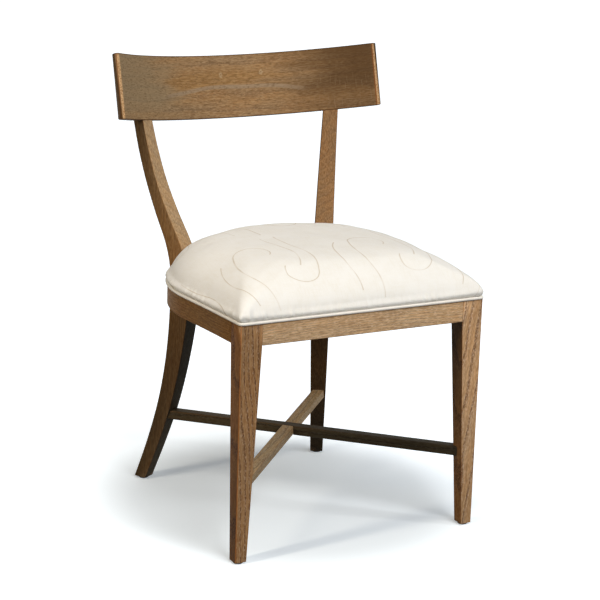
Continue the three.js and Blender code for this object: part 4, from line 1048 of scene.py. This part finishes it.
def seat_cloth(name, light, dark, line=None):
    """Cream weave with a satin face, and the scroll where a colour for its line is given."""
    nodes = Nodes(bpy.data.materials.new(name))
    place = nodes.place()
    weave = weave_of(nodes, 0.55 * MM, 0.02)
    slub = nodes.noise(place, (420, 60, 60))
    cross = nodes.noise(place, (60, 420, 300))
    cloudy = nodes.noise(place, (26, 26, 26))
    height = nodes.times_plus(slub, 0.7, nodes.times_plus(cross, 0.5, weave))
    colour = nodes.mix(nodes.steps(weave, -1, 1, 0.3, 1.0), dark, light)
    colour = nodes.mix(nodes.steps(slub, 0.4, 0.7, 0.0, 0.4), colour, dark)
    colour = nodes.mix(nodes.steps(cross, 0.4, 0.7, 0.0, 0.3), colour, dark)
    colour = nodes.mix(nodes.steps(cloudy, 0.35, 0.70, 0.0, 0.45), colour, light)
    if line:
        scrolls = scroll(nodes)
        colour = nodes.mix(nodes.times(scrolls, 0.50), colour, line)
        height = nodes.minus(height, scrolls)
    normal = nodes.bump(height, 0.35, 0.15 * MM)
    return nodes.finish(colour, nodes.steps(slub, 0.2, 0.8, 0.62, 0.80), normal, sheen=0.15, specular=0.2)


make_cushion(seat_cloth("seat_fabric", srgb(251, 250, 246), srgb(240, 236, 226), srgb(188, 168, 134)))


# Welt, a cord in its own fabric, pressed between the cover and the rail
WELT_RADIUS = 3.3 * MM
WELT_RISE = 2.7 * MM
WELT_PROUD = 0.4 * MM
WELT_SIDES = 16
WELT_STEP = 2.5  # about the distance between sections, in mm
WELT_WAVES = ((0.03, 0.31, 0), (0.025, 0.117, 2), (0.02, 0.73, 1))  # depth, turn to the mm and phase
WELT_WIDE, WELT_LOW = 1.02, 0.97  # shares of its radius


def welt_run(node):
    """The stretch of the seat's outline inside a welt's box. The back welt lies behind the middle."""
    low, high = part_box(node)
    at_back = low.y > 0
    slack = (1 if at_back else 4) * MM
    line = seat_outline(-WELT_PROUD, finer=2)
    inside = [low.y - slack < p.y and low.x - slack < p.x < high.x + slack and (at_back or p.y < high.y + 1 * MM)
              for p in line]
    start = next(i for i in range(len(line)) if inside[i] and not inside[i - 1])
    return (line[start:] + line[:start])[:sum(inside)]


def make_welt(node, name, material):
    run = welt_run(node)
    points = []
    for i, p in enumerate(run):
        ahead = (run[min(i + 1, len(run) - 1)] - run[max(i - 1, 0)]).normalized()
        out = Vector((ahead.y, -ahead.x))
        travel = i * WELT_STEP
        swell = sum((depth * math.sin(travel * rate + phase) for depth, rate, phase in WELT_WAVES), 1)
        for k in range(WELT_SIDES):
            turn = 2 * math.pi * k / WELT_SIDES
            flat = 0.94 + 0.06 * math.cos(2 * turn)
            across = WELT_RADIUS * swell * math.cos(turn) * WELT_WIDE
            rise = WELT_RADIUS * WELT_LOW * flat * math.sin(turn)
            points.append((p.x + out.x * across, p.y + out.y * across, RAIL_TOP + WELT_RISE + rise))
    count = len(points)
    ends = [tuple(reversed(range(WELT_SIDES))), tuple(range(count - WELT_SIDES, count))]
    mesh = bpy.data.meshes.new(name)
    mesh.from_pydata(points, [], walls(WELT_SIDES, count) + ends)
    form = bmesh.new()
    form.from_mesh(mesh)
    bmesh.ops.recalc_face_normals(form, faces=form.faces)
    smooth(written(form, mesh), 70)
    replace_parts(link(name, mesh, material), node)


WELT_FABRIC = seat_cloth("welt_fabric", srgb(250, 247, 240), srgb(238, 232, 220))
make_welt("seat_welt", "seat_welt_cord", WELT_FABRIC)
make_welt("back_welt", "back_welt_cord", WELT_FABRIC)


# Dust cover, drawn tight under the seat board
DUST_CELL = 12 * MM
DUST_SAG = 0.25 * MM  # of its small waves
DUST_THICKNESS = 0.3 * MM


def make_dust_cover(material):
    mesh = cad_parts["dust_cover"].data.copy()
    form = welded(mesh)
    low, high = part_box("dust_cover")
    form.normal_update()
    bmesh.ops.delete(form, geom=[f for f in form.faces if f.normal.z > -0.5], context="FACES")
    for axis in (Vector((1, 0, 0)), Vector((0, 1, 0))):
        place = low.dot(axis) + DUST_CELL
        while place < high.dot(axis):
            bmesh.ops.bisect_plane(form, geom=everything(form), plane_co=axis * place, plane_no=axis)
            place += DUST_CELL
    area = sum(f.calc_area() for f in form.faces)
    for vertex in form.verts:
        x, y = vertex.co.x, vertex.co.y
        vertex.co.z = low.z - DUST_SAG * (1 + math.sin(x * 90 + 1.3 * math.sin(y * 40)) * math.sin(y * 70 + 0.8))
    smooth(written(form, mesh), 80)
    cover = link("dust_cover_cloth", mesh, material)
    thick = cover.modifiers.new("thick", "SOLIDIFY")
    thick.thickness = DUST_THICKNESS
    thick.offset = -1
    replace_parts(cover, "dust_cover")


make_dust_cover(cambric("cambric"))


# Studio
LAMP_WHITE = (1.0, 0.99, 0.97)
LAMP_WARM = (1.0, 0.88, 0.72)
WORLD_SOFT = (1.0, 0.97, 0.92, 1)
WORLD_STRENGTH = 0.05
WHITE = (1, 1, 1, 1)
SUN_DISTANCE = 4
STRIP_WIDTH = 0.16
STRIP_AIM = Vector((0, 0, 0.3))
FLOOR_REACH = 30
FLOOR_SEEN = (0.84, 0.91, 0.97, 1)
FLOOR_UNSEEN = (0.05, 0.05, 0.05, 1)
FLOOR_GLOW = (0.93, 0.975, 1, 1)
FLOOR_CENTRE_Y = -0.03
GLOW_RING, GLOW = (0.26, 0.46), (0.17, 0.70)  # distances, and the strengths within and beyond


def add_lamp(name, kind, energy, colour, location, ahead):
    data = bpy.data.lights.new(name, kind)
    data.energy = energy
    data.color = colour
    lamp = bpy.data.objects.new(name, data)
    lamp.location = location
    lamp.rotation_euler = ahead.to_track_quat("-Z", "Y").to_euler()
    bpy.context.scene.collection.objects.link(lamp)
    return data


def sun(name, towards, strength, spread, colour):
    """A far, wide softbox in the direction towards."""
    towards = Vector(towards)
    data = add_lamp(name, "SUN", strength, colour, towards.normalized() * SUN_DISTANCE, -towards)
    data.angle = math.radians(spread)


def strip(name, azimuth, away, low, high, energy, colour):
    """An upright strip softbox. The azimuth is its place to the right of straight ahead of the chair."""
    turn = math.radians(azimuth)
    location = Vector((away * math.sin(turn), -away * math.cos(turn), (low + high) / 2))
    data = add_lamp(name, "AREA", energy, colour, location, STRIP_AIM - location)
    data.shape = "RECTANGLE"
    data.size = STRIP_WIDTH
    data.size_y = high - low


def background_share(nodes):
    """1 for the rays that show the white background: from the camera, or by way of gloss or glass."""
    path = nodes.node("ShaderNodeLightPath")
    return nodes.most(*[path.outputs[name] for name in ("Is Camera Ray", "Is Glossy Ray", "Is Transmission Ray")])


def make_world():
    world = bpy.data.worlds.new("studio")
    bpy.context.scene.world = world
    nodes = Nodes(world)
    nodes.tree.nodes.clear()
    lights = [nodes.node("ShaderNodeBackground", {"Color": colour, "Strength": strength}).outputs[0]
              for colour, strength in ((WORLD_SOFT, WORLD_STRENGTH), (WHITE, 1.0))]
    mixed = nodes.node("ShaderNodeMixShader", enumerate((background_share(nodes), *lights))).outputs[0]
    nodes.node("ShaderNodeOutputWorld", {"Surface": mixed})


def make_floor():
    """Pale paper. It glows for the camera beyond the chair, so that it turns white, and keeps the shadow near it."""
    mesh = bpy.data.meshes.new("floor")
    corners = [(x * FLOOR_REACH, y * FLOOR_REACH, 0) for x, y in ((-1, -1), (1, -1), (1, 1), (-1, 1))]
    mesh.from_pydata(corners, [], [(0, 1, 2, 3)])
    floor = scratch("floor", mesh)
    nodes = Nodes(bpy.data.materials.new("floor_paper"))
    seen = background_share(nodes)
    away = nodes.vector("LENGTH", nodes.scaled(nodes.moved(nodes.place(), 0, -FLOOR_CENTRE_Y, 0), 1, 1, 0))
    nodes.shader.inputs["Emission Color"].default_value = FLOOR_GLOW
    glow = nodes.times(seen, nodes.steps(away, *GLOW_RING, *GLOW))
    nodes.put(glow, nodes.shader.inputs["Emission Strength"])
    mesh.materials.append(nodes.finish(nodes.mix(seen, FLOOR_UNSEEN, FLOOR_SEEN), 0.9, specular=0.1))


make_world()
make_floor()
sun("front", (0.06, -0.775, 0.627), 2.01, 36, (1.0, 0.99, 0.98))
sun("top", (0.02, -0.05, 1.0), 0.28, 50, LAMP_WHITE)
strip("right", 47, 2.2, 0.9, 3.0, 12, LAMP_WHITE)
strip("left", -76, 2.2, 0.9, 2.6, 27, LAMP_WARM)
bpy.context.scene.view_settings.view_transform = "Standard"
